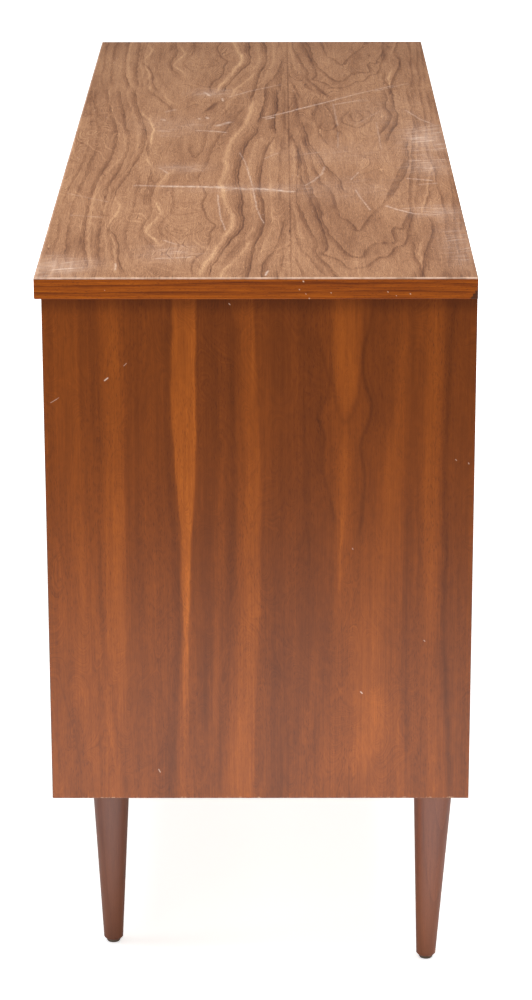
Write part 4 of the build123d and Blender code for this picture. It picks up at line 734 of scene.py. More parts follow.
def laminate():
    """Printed walnut: rings and fibres along X, pores, then wear and a pale edge, partly rubbed and
    partly a painted highlight.
    """
    mat = Shader("laminate_printed_walnut")
    point = mat.point
    tone, ring, scuff, flank = (mat.node("ShaderNodeAttribute", out="Fac", attribute_name=key)
                                for key in ("tone", "ring", "scuff", "flank"))
    wobble = mat.noise(point, stretch=(6, 22, 1), detail=3, rough=0.55)
    fibre = mat.noise(point, stretch=(26, 900, 1), detail=3, rough=0.6)
    fine = mat.noise(point, stretch=(90, 2300, 1), detail=2, rough=0.6)
    cloud = mat.noise(point, stretch=(3.2, 9.0, 1), detail=3)
    hairs = mat.noise(point, stretch=(9, 340, 1), detail=3, rough=0.6)
    x = mat.split(point)[0]
    streak = mat.noise(mat.combine(x * 6.0, ring * 3.2, wobble * 0.8), detail=3, rough=0.62)
    streak_fine = mat.noise(mat.combine(x * 14.0, ring * 8.0, 3.0), detail=2, rough=0.6)
    # ring lines at four spacings, stronger where the rings crowd together
    crowd = mat.remap(flank, (0.0, 1.0), (0.52, 1.0))
    broad = mat.ring_lines(ring * 1.35 + wobble * 1.6, power=2.6, chosen=(0.1, 1.0),
                           to=(0.25, 1.0)) * crowd
    sharp = mat.ring_lines(ring * 2.3 + wobble * 2.4, power=4.0, chosen=(0.2, 1.0)) * crowd
    close = mat.ring_lines(ring * 4.3 + wobble * 3.1, power=2.6, chosen=(0.15, 1.0)) * crowd
    rings = ring * 2.9 + wobble * 2.2
    pale = ((1.0 - mat.math("FRACT", rings)) ** 4.0
            * mat.remap(mat.random(mat.math("FLOOR", rings) + 0.5), (0.35, 1.0)) * crowd)
    # share of each pattern in the shade, around a middle value
    shade = (0.62 + close * -0.28 + pale * 0.26
             + mat.math("MAXIMUM", tone, 0.0) * 0.27 + mat.math("MINIMUM", tone, 0.0) * 0.50
             + broad * -0.35 + sharp * -0.22 + (fibre - 0.5) * 0.30 + (fine - 0.5) * 0.60
             + (cloud - 0.5) * 0.22 + (streak - 0.5) * crowd * 0.54
             + (streak_fine - 0.5) * crowd * 0.22 + (hairs - 0.5) * 0.17)
    color = mat.ramp(shade, {
        0.0: (66, 36, 20), 0.2: (92, 55, 33), 0.4: (123, 81, 52), 0.55: (147, 104, 73),
        0.72: (169, 126, 92), 0.90: (196, 155, 114), 1.0: (212, 176, 134)})
    # pores: short dark dashes along the print
    pore = mat.cells(point, stretch=(150, 1500, 1))
    dashes = (mat.remap(pore, (0.10, 0.26), (1.0, 0.0))
              * mat.remap(mat.noise(point, stretch=(20, 60, 1)), (0.45, 0.62)))
    color = mat.mix(dashes * 0.6, color, lin(74, 42, 26))
    # strokes, their paths shaken a little and broken up
    shake = mat.vector("SUBTRACT", mat.noise(point, stretch=(40, 40, 1), color=True),
                       (0.5, 0.5, 0.5))
    shaken = mat.vector("ADD", point, mat.stretch(shake, (0.003, 0.003, 0)))
    x, y, _ = mat.split(shaken)
    strokes = mat.strokes(mat.combine(x, y, 0.0), metres(TOP_STROKES, widen=1.2, fade=0.66))
    gaps = mat.noise(point, stretch=(200, 200, 1), detail=3, rough=0.7)
    strokes = strokes * mat.remap(gaps, (0.34, 0.60), (0.15, 1.0))
    # soft scuffs held on the mesh, broken into fine crosswise hairlines
    x, y, _ = mat.split(point)
    slanted = mat.combine(x + y * 0.35, y + x * -0.35, 0.0)
    hairline = mat.remap(mat.noise(slanted, stretch=(900, 60, 1), detail=3, rough=0.65),
                         (0.46, 0.72))
    bent = mat.warp(mat.stretch(slanted, (230, 26, 1)), point, (9, 0, 0), scale=9, detail=1)
    coarse = mat.remap(mat.noise(bent, detail=2, rough=0.6), (0.53, 0.70))
    haze = scuff * (0.26 + hairline * 0.32 + coarse * 1.1
                    + mat.remap(hairs, (0.50, 0.66)) * 0.22)
    specks = mat.remap(mat.cells(point, stretch=(70, 70, 1)), (0.03, 0.07), (1.0, 0.0))
    specks = specks * mat.remap(mat.noise(point, stretch=(9, 9, 1), detail=1),
                                (0.55, 0.7), (0.0, 0.75))
    white = mat.math("MAXIMUM", mat.math("MAXIMUM", strokes * 0.9, haze * 0.5), specks)
    color = mat.mix(white * 0.86, color, lin(228, 208, 194))
    # the laminate's right-hand and front edges, pale: partly rubbed wear, partly a painted highlight
    # along the bevel
    end = mat.remap(mat.split(point)[0], (TOP_HIGH.x - 0.0018, TOP_HIGH.x - 0.0009))
    front = mat.remap(mat.split(point)[1], (TOP_LOW.y + 0.0022, TOP_LOW.y + 0.0012), (0.0, 0.7))
    patches = mat.remap(mat.noise(point, stretch=(60, 60, 1), detail=3, rough=0.6),
                        (0.35, 0.6), (0.35, 1.0))
    worn_and_highlit_edge = mat.math("MAXIMUM", end, front) * patches
    color = mat.mix(worn_and_highlit_edge * 0.75, color, lin(226, 190, 166))
    rough = mat.remap(fibre, (0.3, 0.7), (0.46, 0.56)) + white * 0.16
    relief = mat.bump(fine * 0.5 + pore * 0.3 + strokes * -1.2, strength=0.12, distance=0.0004)
    return mat.finish(color, rough, relief, Specular_IOR_Level=0.20)


def end_veneer(seed):
    """Veneer with its grain along Z; seed 0 is the right-hand end with its own chips."""
    mat = Shader("end_veneer_%d" % seed)
    point = mat.vector("ADD", mat.point, (0.0, 0.37 * seed, 0.0)) if seed else mat.point
    tone, ring = (mat.node("ShaderNodeAttribute", out="Fac", attribute_name=key)
                  for key in ("tone", "ring"))
    wobble = mat.noise(point, stretch=(1, 34, 3.4), detail=3, rough=0.55)
    line = mat.ring_lines(ring * 1.6 + wobble * 3.0, power=4.0, chosen=(0.3, 1.0))
    fibre = mat.noise(point, stretch=(1, 620, 9), detail=4, rough=0.62)
    fine = mat.noise(point, stretch=(1, 2600, 60), detail=3, rough=0.6)
    cloud = mat.noise(point, stretch=(1, 16, 2.2), detail=3)
    rays = mat.noise(point, stretch=(1, 260, 120), detail=2, rough=0.6)
    middle = mat.noise(point, stretch=(1, 130, 2.4), detail=3, rough=0.6)
    height = mat.split(point)[2]
    streak = mat.noise(mat.combine(height * 4.0, ring * 3.4, wobble * 0.8), detail=3, rough=0.62)
    # share of each pattern in the shade; contrast eases off with height
    play = ((streak - 0.5) * 0.28 + tone * 0.25 + line * -0.11 + (fibre - 0.5) * 0.24
            + (fine - 0.5) * 0.20 + (cloud - 0.5) * 0.34 + (middle - 0.5) * 0.16
            + (rays - 0.5) * 0.14)
    shade = 0.54 + play * mat.remap(height, (0.25, 0.55), (1.28, 0.95))
    color = mat.ramp(shade, {
        0.0: (68, 30, 7), 0.2: (94, 45, 13), 0.42: (122, 60, 19), 0.58: (143, 72, 22),
        0.76: (172, 90, 28), 0.92: (204, 113, 38), 1.0: (220, 132, 52)})
    # painted shadow of the top's overhang: darker just under the top
    painted_overhang_shadow = mat.remap(mat.split(mat.point)[2], (0.690, 0.7095), (0.0, 0.34), smooth=True)
    color = mat.mix(painted_overhang_shadow, color, lin(58, 26, 10))
    pores = (mat.remap(mat.cells(point, stretch=(1, 1000, 130)), (0.10, 0.34), (1.0, 0.0))
             * mat.remap(mat.noise(point, stretch=(1, 30, 7)), (0.38, 0.60), (0.2, 1.0)))
    color = mat.mix(pores * 0.55, color, lin(62, 24, 12))
    _, y, z = mat.split(mat.point)
    if seed == 0:
        chips = mat.strokes(mat.combine(y, z, 0.0), metres(END_STROKES, widen=0.75))
    else:
        chips = mat.remap(mat.cells(point, stretch=(1, 24, 24)), (0.012, 0.03),
                          (1.0, 0.0)) * 0.6
    color = mat.mix(chips, color, lin(240, 214, 190))
    # a ragged pale line along the lower edge
    ragged = (mat.noise(point, stretch=(1, 300, 300), detail=3, rough=0.6) - 0.5) * 0.006
    foot = mat.remap(z + ragged, (0.1982, 0.1990), (1.0, 0.0))
    foot = foot * mat.remap(mat.noise(point, stretch=(1, 46, 1), detail=2, rough=0.6),
                            (0.42, 0.58), (0.1, 0.8))
    color = mat.mix(foot, color, lin(218, 176, 140))
    rough = 0.30 + fibre * 0.10 + pores * 0.15 + chips * 0.2
    relief = mat.bump(pores * -1.0 + fine * 0.35, strength=0.10, distance=0.0003)
    return mat.finish(color, rough, relief, Specular_IOR_Level=0.14, Coat_Weight=0.36,
                      Coat_Roughness=0.13)


def edge_damage(mat, color, nicks):
    """Pale nicks, and the torn upper back corner, at the right-hand end."""
    x, y, z = mat.split(mat.point)
    right_end = mat.math("GREATER_THAN", x, 0.60)
    marks = mat.strokes(mat.combine(y, z, 0.0), nicks) * right_end
    color = mat.mix(mat.math("MINIMUM", marks, 1.0), color, lin(240, 214, 184))
    jag = (mat.noise(mat.point, stretch=(420, 420, 420), detail=3, rough=0.6) - 0.5) * 0.008
    gone = (y - 0.1980) + (0.7200 - z) * 0.75 + jag
    torn = mat.remap(gone, (-0.0008, 0.0004)) * right_end
    return mat.mix(torn * 0.85, color, lin(66, 38, 24))


def wood(name, axis, palette, fibres=(9, 520), wobble=0.5, rough=0.36, coat=0.25, pore=0.5,
         shift=(0, 0, 0), rings=90.0, contrast=1.0, scars=0.0, turn=False, nicks=(),
         specular=0.5, foot=0.0):
    """Straight-grained timber with its grain along axis 0, 1 or 2.

    palette is four sRGB colours, dark to light; fibres is the noise scale along and across
    the grain. With turn, grain runs along Y on faces that look along X.
    """
    mat = Shader(name)
    point = mat.point
    if turn:
        normal = mat.node("ShaderNodeNewGeometry", out="True Normal")
        facing = mat.math("ABSOLUTE", mat.split(normal)[0])
        turned = mat.math("GREATER_THAN", facing, 0.5)
        x, y, z = mat.split(point)
        swap = turned * (y - x)
        point = mat.combine(x + swap, y - swap, z)
    point = mat.vector("ADD", point, shift)

    def grain(along, across):
        return tuple(along if k == axis else across for k in range(3))
    coords = mat.split(point)
    low = mat.noise(point, stretch=grain(1.6, 14), detail=3)
    first, second = (coords[k] for k in range(3) if k != axis)
    line = mat.math("FRACT", (first + second * 0.7) * rings + low * (6.0 * wobble)) ** 3.0
    fibre = mat.noise(point, stretch=grain(*fibres), detail=4, rough=0.62)
    fine = mat.noise(point, stretch=grain(fibres[0] * 6, fibres[1] * 4), detail=2, rough=0.6)
    # share of each pattern in the shade, around a middle value
    shade = (0.5 + line * (-0.16 * contrast) + (fibre - 0.5) * (0.62 * contrast)
             + (fine - 0.5) * (0.26 * contrast) + (low - 0.5) * (0.5 * contrast))
    color = mat.ramp(shade, dict(zip((0.0, 0.3, 0.62, 1.0), palette)))
    pores = mat.remap(mat.cells(point, stretch=grain(180, 1400)), (0.08, 0.28), (1.0, 0.0))
    color = mat.mix(pores * pore, color, lin(*palette[0]))
    # painted light: the lower end lighter towards the floor, standing in for light bounced off it
    if foot:
        painted_floor_bounce = mat.remap(mat.split(mat.point)[2], (0.03, 0.13), (foot, 0.0))
        color = mat.mix(painted_floor_bounce, color, lin(*palette[3]))
    if scars:
        spots = mat.warp(mat.stretch(point, (55, 55, 20)), point, (0.6, 0.6, 0.6),
                         scale=60, detail=2)
        scarred = (mat.remap(mat.cells(spots), (0.03, 0.09), (1.0, 0.0))
                   * mat.remap(mat.noise(point, stretch=(14, 14, 14), detail=1),
                               (0.5, 0.66), (0.0, scars)))
        color = mat.mix(scarred, color, lin(214, 186, 168))
    if nicks:
        color = edge_damage(mat, color, nicks)
    relief = mat.bump(pores * -1.0 + fine * 0.5, strength=0.15, distance=0.0003)
    return mat.finish(color, rough + fibre * 0.10 + pores * 0.12, relief,
                      Specular_IOR_Level=specular, Coat_Weight=coat, Coat_Roughness=0.25)


def metal(name, rgb, rough, dirt, axis=None, tint=None):
    """Metal brushed along axis, clouded and spotted by dirt."""
    mat = Shader(name)
    color = lin(*rgb)
    brush = mat.noise(mat.point, stretch=tuple(12 if k == axis else 900 for k in range(3)),
                      detail=2, rough=0.6)
    cloud = mat.noise(mat.point, scale=26, detail=4, rough=0.6)
    spots = mat.remap(mat.noise(mat.point, scale=140, detail=3, rough=0.6), (0.58, 0.74))
    shade = mat.mix(mat.remap(brush, (0.3, 0.7), (0.0, 0.35)), color, dimmed(color, 0.72))
    shade = mat.mix(mat.remap(cloud, (0.45, 0.7)) * dirt, shade,
                    lin(*tint) if tint else dimmed(color, 0.5))
    shade = mat.mix(spots * (dirt * 0.8), shade, lin(70, 56, 44))
    return mat.finish(shade, rough + brush * 0.16 + cloud * 0.12,
                      mat.bump(brush, strength=0.08, distance=0.0002), Metallic=1.0)


def plastic(name, rgb, rough, speck=0.15, dust=0.12, grain=900, specular=0.5):
    """Plastic, paint or ink with lighter clouds and a little dust."""
    mat = Shader(name)
    color = lin(*rgb)
    fine = mat.noise(mat.point, scale=grain, detail=2, rough=0.6)
    cloud = mat.noise(mat.point, scale=45, detail=4, rough=0.55)
    lighter = tuple(min(1, channel * 1.7 + 0.01) for channel in color[:3]) + (1.0,)
    shade = mat.mix(mat.remap(cloud, (0.35, 0.7), (0.0, speck)), color, lighter)
    dusty = mat.remap(mat.noise(mat.point, scale=320, detail=4, rough=0.7), (0.56, 0.75)) * dust
    shade = mat.mix(dusty, shade, lin(176, 168, 156))
    return mat.finish(shade, rough + cloud * 0.12 + dusty * 0.5,
                      mat.bump(fine, strength=0.06, distance=0.0002),
                      Specular_IOR_Level=specular)


def board(name, base, light, dark, chip=420):
    """Pressed chips or fibres; chip is the number of chips per metre."""
    mat = Shader(name)
    distance = mat.cells(mat.warp(mat.stretch(mat.point, (1.0, 1.0, 1.0)), mat.point,
                                  (0.004, 0.004, 0.004), scale=180, detail=3), scale=chip)
    pick = mat.math("FRACT", mat.split(distance.output("Color"))[0] * 1.0)
    color = mat.ramp(pick, {0.0: dark, 0.35: base, 0.75: base, 1.0: light})
    fine = mat.noise(mat.point, scale=900, detail=3, rough=0.6)
    color = mat.mix(mat.remap(fine, (0.4, 0.7), (0.0, 0.35)), color, lin(*dark))
    stain = mat.remap(mat.noise(mat.point, scale=9, detail=4, rough=0.6), (0.4, 0.75),
                      (0.0, 0.35))
    color = mat.mix(stain, color, dimmed(lin(*dark), 0.6))
    return mat.finish(color, 0.72 + fine * 0.2,
                      mat.bump(distance + fine, strength=0.25, distance=0.0005),
                      Specular_IOR_Level=0.25)


def core_behind(source, name):
    """The same timber, with pressed core showing on faces that look to the back."""
    mat = Shader(name, source)
    base = mat.principled.inputs["Base Color"]
    timber = Value(mat, base.links[0].from_socket)
    normal = mat.node("ShaderNodeNewGeometry", out="True Normal")
    behind = mat.math("GREATER_THAN", mat.split(normal)[1], 0.5)
    chips = mat.split(mat.cells(mat.point, scale=600).output("Color"))[0]
    core = mat.ramp(chips, {0.0: (98, 66, 40), 1.0: (176, 136, 94)})
    mat.feed(base, mat.mix(behind, timber, core))
    return mat.material


def hardboard():
    """Brown fibreboard with flecks, dust towards the top and an embossed screen pattern."""
    mat = Shader("back_hardboard")
    point = mat.point
    fibre = mat.noise(mat.warp(point, point, (0.012, 0.012, 0.012), scale=60, detail=3),
                      scale=520, detail=4, rough=0.7)
    cloud = mat.noise(point, scale=5, detail=4, rough=0.6)
    flecks = mat.remap(mat.noise(point, stretch=(260, 260, 900), detail=2, rough=0.6),
                       (0.62, 0.75))
    color = mat.ramp(fibre * 0.75 + cloud * 0.3, {
        0.25: (62, 40, 26), 0.5: (96, 65, 43), 0.72: (124, 88, 60), 0.9: (150, 114, 82)})
    color = mat.mix(flecks * 0.4, color, lin(176, 142, 106))
    x, _, z = mat.split(point)
    dust = (mat.remap(mat.noise(point, stretch=(14, 14, 5), detail=4, rough=0.6), (0.5, 0.75))
            * mat.remap(z, (0.45, 0.72), (0.0, 0.45)))
    color = mat.mix(dust, color, lin(150, 140, 128))
    screen = mat.math("SINE", x * 2600.0) * mat.math("SINE", z * 2600.0) * 0.4
    return mat.finish(color, 0.62 + fibre * 0.22,
                      mat.bump(screen + fibre, strength=0.25, distance=0.0005),
                      Specular_IOR_Level=0.3)


def grille():
    """Coarse basket weave of brown threads with gold ones at every fourth pitch."""
    pitch = 0.0034
    turn = 2 * math.pi / pitch
    mat = Shader("grille_cloth_weave")
    point = mat.warp(mat.point, mat.point, (0.0006, 0.0, 0.0006), scale=40, detail=2)
    x, _, z = mat.split(point)
    warp = mat.math("ABSOLUTE", mat.math("SINE", x * turn))
    weft = mat.math("ABSOLUTE", mat.math("SINE", z * turn))
    checks = mat.math("SINE", x * (turn / 2.0)) * mat.math("SINE", z * (turn / 2.0))
    over = mat.remap(checks, (-0.05, 0.05))
    height = over * weft + (1.0 - over) * warp
    slub = mat.noise(point, stretch=(160, 1, 1400), detail=3, rough=0.6)
    slub_up = mat.noise(point, stretch=(1400, 1, 160), detail=3, rough=0.6)
    level = mat.ramp(slub, {0.3: (112, 88, 52), 0.6: (168, 140, 90), 0.8: (206, 184, 132)})
    upright = mat.ramp(slub_up, {0.3: (74, 56, 38), 0.6: (122, 98, 66), 0.8: (170, 146, 104)})
    color = mat.mix(over, upright, level)
    gold = mat.remap(mat.math("SINE", z * (2 * math.pi / (4 * pitch))), (0.93, 0.98))
    color = mat.mix(gold * 0.7, color, lin(226, 194, 120))
    # painted shade: darker in the weave's low places between the threads
    color = mat.mix(mat.remap(height, (0.15, 0.6), (0.75, 0.0)), color, lin(34, 26, 18))
    return mat.finish(color, 0.78, mat.bump(height, strength=0.8, distance=0.0012),
                      Sheen_Weight=0.3)


def glass():
    mat = Shader("tinted_safety_glass")
    smear = mat.noise(mat.point, stretch=(9, 1, 16), detail=4, rough=0.6)
    dust = mat.remap(mat.noise(mat.point, scale=700, detail=3, rough=0.7), (0.62, 0.8))
    rough = 0.02 + mat.remap(smear, (0.45, 0.75), (0.0, 0.07)) + dust * 0.02
    color = mat.mix(mat.remap(smear, (0.4, 0.8), (0.0, 0.25)), lin(196, 200, 196),
                    lin(176, 178, 170))
    return mat.finish(color, rough, Transmission_Weight=1.0, IOR=1.45, Specular_IOR_Level=0.5)


def picture_tube():
    """Grey faceplate, lighter away from its centre."""
    centre_x, centre_z = -0.064, 0.455
    mat = Shader("picture_tube_glass")
    cloud = mat.noise(mat.point, scale=5, detail=3)
    phosphor = mat.noise(mat.point, scale=3000, detail=1)
    x, _, z = mat.split(mat.point)
    radius = mat.vector("LENGTH", mat.combine((x - centre_x) * 1.0, (z - centre_z) * 1.3, 0.0))
    shade = phosphor * 0.02 + cloud * 0.25 + mat.remap(radius, (0.16, 0.36), (0.30, 0.0))
    color = mat.ramp(shade, {0.1: (58, 64, 60), 0.35: (84, 91, 86), 0.6: (104, 111, 105)})
    return mat.finish(color, 0.12 + cloud * 0.06, Specular_IOR_Level=0.6, Coat_Weight=1.0,
                      Coat_Roughness=0.03)


def funnel():
    """Graphite-coated tube body with a clearer neck at its back."""
    mat = Shader("tube_graphite_coat")
    cloud = mat.noise(mat.point, scale=90, detail=4, rough=0.6)
    color = mat.ramp(cloud, {0.3: (20, 20, 20), 0.6: (38, 38, 38), 0.8: (60, 58, 56)})
    neck = mat.remap(mat.split(mat.point)[1], (0.055, 0.07))
    color = mat.mix(neck, color, lin(120, 130, 126))
    return mat.finish(color, 0.35 + cloud * 0.4,
                      mat.bump(cloud, strength=0.1, distance=0.0005),
                      Transmission_Weight=neck * 0.6)


def valve():
    """Valve envelope: brown base, banded clear glass, silvered back end."""
    mat = Shader("valve_glass")
    _, y, z = mat.split(mat.point)
    cloud = mat.noise(mat.point, scale=60, detail=3, rough=0.6)
    base = mat.remap(y, (0.1045, 0.1050), (1.0, 0.0))
    silver = mat.remap(y + cloud * 0.01, (0.148, 0.158))
    plates = mat.remap(mat.math("ABSOLUTE", mat.math("SINE", z * 700.0)), (0.2, 0.5), (0.6, 0.0))
    color = mat.mix(silver, lin(150, 156, 156), lin(196, 194, 188))
    color = mat.mix(plates * 0.5, color, lin(60, 60, 62))
    color = mat.mix(base, color, lin(52, 34, 24))
    clear = 1.0 - mat.math("MAXIMUM", base, silver)
    return mat.finish(color, 0.08 + cloud * 0.08, Transmission_Weight=clear * 0.7,
                      Metallic=silver * 0.9, Coat_Weight=0.6)


def winding():
    """Copper wire turns stacked along Y."""
    mat = Shader("yoke_winding")
    turns = mat.math("SINE", mat.split(mat.point)[1] * 7000.0)
    cloud = mat.noise(mat.point, scale=120, detail=3, rough=0.6)
    color = mat.ramp(turns * 0.2 + cloud,
                     {0.2: (90, 40, 18), 0.5: (164, 84, 40), 0.85: (214, 130, 74)})
    return mat.finish(color, 0.3 + cloud * 0.2,
                      mat.bump(turns, strength=0.4, distance=0.0006),
                      Metallic=0.4, Coat_Weight=0.4)


def cone_paper():
    mat = Shader("speaker_cone_paper")
    fibre = mat.noise(mat.point, scale=800, detail=4, rough=0.7)
    color = mat.ramp(fibre, {0.3: (22, 20, 19), 0.6: (42, 39, 36), 0.8: (70, 66, 60)})
    return mat.finish(color, 0.85, mat.bump(fibre, strength=0.4, distance=0.0006))


def control_plate():
    """Brushed plate with a dark round field behind each large dial."""
    mat = Shader("control_plate_brushed")
    x, _, z = mat.split(mat.point)
    brush = mat.noise(mat.point, stretch=(1400, 1, 10), detail=3, rough=0.6)
    color = mat.ramp(brush, {0.3: (150, 128, 92), 0.55: (178, 155, 114), 0.8: (204, 184, 144)})
    cloud = mat.noise(mat.point, scale=30, detail=3, rough=0.6)
    color = mat.mix(mat.remap(cloud, (0.5, 0.75), (0.0, 0.35)), color, lin(120, 100, 70))

    def field(centre, radius, soft=0.0004):
        off = mat.vector("SUBTRACT", mat.combine(x, z, 0.0), (*centre, 0.0))
        return mat.remap(mat.vector("LENGTH", off), (radius - soft, radius + soft), (1.0, 0.0))
    fields = mat.math("MAXIMUM", field(CHANNEL_DIAL, 0.052), field(UHF_DIAL, 0.046))
    dark = mat.mix(mat.remap(brush, (0.3, 0.7), (0.0, 0.5)), lin(40, 30, 24), lin(60, 46, 36))
    color = mat.mix(fields, color, dark)
    return mat.finish(color, 0.34 + brush * 0.12 + cloud * 0.06,
                      mat.bump(brush, strength=0.10, distance=0.0002),
                      Metallic=mat.remap(fields, (0.0, 1.0), (0.9, 0.1)))


def studio_floor():
    """White to the camera; to the light it fades with distance but glows off the +X end."""
    mat = Shader("studio_floor")
    cloud = mat.noise(mat.point, scale=2.0, detail=3)
    color = mat.mix(cloud * 0.04, (0.90, 0.90, 0.90, 1), (0.84, 0.84, 0.85, 1))
    camera_ray = mat.node("ShaderNodeLightPath", out="Is Camera Ray")
    x, y, _ = mat.split(mat.point)
    radius = mat.vector("LENGTH", mat.combine(x, y, 0.0))
    seen = 0.69 + mat.remap(radius, (0.9, 2.6), smooth=True) * 0.5
    pool = mat.vector("LENGTH", mat.combine(x - 1.05, y * 0.7, 0.0))
    bounce = (mat.remap(pool, (0.15, 1.25), (1.45, 0.0), smooth=True)
              * mat.remap(x, (0.60, 0.85), smooth=True))
    glow = camera_ray * seen + (1.0 - camera_ray) * bounce
    dim = mat.remap(radius, (1.2, 2.8), (1.0, 0.12), smooth=True)
    color = mat.mix(mat.math("MAXIMUM", camera_ray, dim), (0.05, 0.05, 0.05, 1), color)
    return mat.finish(color, 0.9, Specular_IOR_Level=0.1, Emission_Color=(1, 1, 1, 1),
                      Emission_Strength=glow)


# timber palettes, dark to light
WALNUT = ((66, 32, 13), (98, 50, 19), (136, 74, 30), (178, 104, 48))
EDGE = ((92, 36, 3), (142, 66, 6), (182, 93, 11), (214, 128, 28))
LEG_FRONT = ((56, 24, 12), (92, 44, 23), (119, 63, 36), (152, 90, 56))
LEG_REAR = ((66, 26, 11), (107, 51, 25), (136, 71, 38), (172, 102, 60))
SOFTWOOD = ((120, 92, 60), (156, 124, 86), (184, 152, 110), (208, 180, 140))

nick_strokes = metres([(y, z, y + NICK_RUN, z - NICK_RUN, width, strength)
                       for y, z, width, strength in EDGE_NICKS], widen=0.85)
materials = {
    "laminate": laminate(),
    "end_right": end_veneer(0),
    "end_left": end_veneer(1),
    "edge": wood("edge_veneer_along", 0, EDGE, fibres=(19, 900), wobble=0.75, coat=0.08,
                 pore=0.9, rings=210.0, contrast=1.7, shift=(0.3, 0.1, 0), turn=True,
                 nicks=nick_strokes, specular=0.22),
    "rail": wood("front_rail_walnut", 0, WALNUT, fibres=(8, 620), rough=0.34, rings=130.0,
                 shift=(1, 0, 0)),
    "upright": wood("front_upright_walnut", 2, WALNUT, fibres=(8, 620), rough=0.34,
                    rings=160.0, shift=(0, 0, 2)),
    "leg_front": wood("leg_front_lacquer", 2, LEG_FRONT, fibres=(10, 560), coat=0.18,
                      pore=0.35, rings=70.0, contrast=0.7, scars=0.6, foot=0.36),
    "leg_rear": wood("leg_rear_lacquer", 2, LEG_REAR, fibres=(10, 560), coat=0.18, pore=0.45,
                     rings=110.0, contrast=0.85, scars=0.35, shift=(0.2, 0, 0), foot=0.30),
    "softwood": wood("raw_softwood", 0, SOFTWOOD, fibres=(6, 300), rough=0.7, coat=0.0,
                     pore=0.3, rings=60.0),
    "chipboard": board("chipboard", (168, 134, 92), light=(206, 178, 132), dark=(116, 84, 52)),
    # spare: no piece takes the panel core
    "core": board("panel_core", (150, 108, 70), light=(182, 142, 100), dark=(92, 58, 36),
                  chip=700),
    "hardboard": hardboard(),
    "grille": grille(),
    "glass": glass(),
    "tube": picture_tube(),
    "funnel": funnel(),
    "valve": valve(),
    "winding": winding(),
    "cone": cone_paper(),
    "control": control_plate(),
    "gold": metal("anodised_gold", (206, 170, 104), rough=0.24, dirt=0.15),
    "knob_gold": metal("knob_gold", (212, 182, 122), rough=0.20, dirt=0.12),
    "zinc": metal("zinc_steel", (176, 174, 166), rough=0.34, dirt=0.35),
    "cadmium": metal("cadmium_chassis", (186, 178, 150), rough=0.38, dirt=0.35, axis=0),
    "can": metal("aluminium_can", (196, 197, 198), rough=0.26, dirt=0.2, axis=1),
    "glide": metal("worn_glide", (150, 138, 124), rough=0.46, dirt=0.5, tint=(92, 70, 52)),
    "black": plastic("satin_black_paint", (26, 26, 26), rough=0.38),
    "mask": plastic("matt_mask", (30, 30, 31), rough=0.62, dust=0.2),
    "knob": plastic("knob_dark", (34, 26, 22), rough=0.22, dust=0.10, specular=0.55),
    "phenolic": plastic("brown_phenolic", (62, 38, 24), rough=0.34, speck=0.35),
    "ferrite": plastic("ferrite", (52, 52, 54), rough=0.6, speck=0.3),
    "cord": plastic("brown_cord", (70, 46, 30), rough=0.62, dust=0.25, grain=1800),
    "lead": plastic("lead_sleeve", (96, 26, 20), rough=0.45),
    "lamp": plastic("lamp_jewel", (196, 60, 22), rough=0.12, dust=0.05),
    "ink": plastic("dial_ink", (228, 216, 190), rough=0.5, dust=0.15),
    "ink_dark": plastic("dial_ink_dark", (52, 38, 26), rough=0.5, dust=0.15),
}
materials["panel"] = core_behind(materials["upright"], "panel_edge_walnut")

PIECES = {
    "laminate": "top_laminate",
    "edge": "top_edge_bands",
    "rail": "front_rails",
    "upright": "front_mullions grille_slats",
    "panel": "end_panel_left end_panel_right",
    "leg_front": "leg_front_left leg_front_right",
    "leg_rear": "leg_rear_left leg_rear_right",
    "softwood": "cleats_and_blocks",
    "chipboard": "top_core bottom_panel partitions speaker_baffles",
    "hardboard": "back_cover",
    "grille": "grille_cloths",
    "glass": "safety_glass",
    "tube": "crt_faceplate",
    "funnel": "crt_funnel",
    "valve": "vacuum_tubes",
    "winding": "deflection_yoke",
    "cone": "woofer_cones tweeters",
    "control": "control_panel",
    "gold": "screen_trim",
    "knob_gold": "fine_tuning_knob volume_knob tone_knob",
    "zinc": "back_cover_screws leg_plates leg_hanger_bolts crt_rim_strap "
            "channel_shaft_and_drum wood_screws",
    "cadmium": "control_bracket tuner_housings potentiometers tv_chassis high_voltage_cage",
    "can": "filter_capacitors",
    "glide": "leg_glides",
    "black": "woofer_baskets power_transformer",
    "mask": "picture_mask",
    "knob": "channel_knob uhf_knob brightness_knob contrast_knob vertical_hold_knob "
            "horizontal_hold_knob",
    "phenolic": "crt_neck_cover crt_socket rear_terminals",
    "ferrite": "woofer_magnets flyback_transformer",
    "cord": "power_cord",
    "lead": "wiring_harness",
    "lamp": "pilot_lamp",
}
material_of = {piece: key for key, names in PIECES.items() for piece in names.split()}
for name, piece in nodes.items():
    piece.data.materials.clear()
    piece.data.materials.append(materials[material_of[name]])

# =====================================================================
# top laminate, end veneers and speaker cloths
# =====================================================================
SEAM = 243.5            # mm from the front edge to the joint between the print's leaves
# soft scuffs: (across, along, spread across, spread along, strength), mm
SCUFFS = [
    (400, 640, 26, 70, 0.9), (395, 790, 22, 45, 0.7), (10, 1250, 30, 45, 0.8),
    (37.5, 1240, 20, 25, 0.5), (127.5, 1190, 30, 35, 0.45), (127.5, 795, 26, 22, 0.45),
    (395, 1010, 30, 30, 0.5), (150, 360, 24, 24, 0.5), (115, 560, 40, 50, 0.3),
    (300, 720, 60, 60, 0.22), (410, 1150, 20, 100, 0.45), (200, 900, 60, 20, 0.35),
    (305, 900, 60, 60, 0.22), (360, 500, 50, 120, 0.15),
]


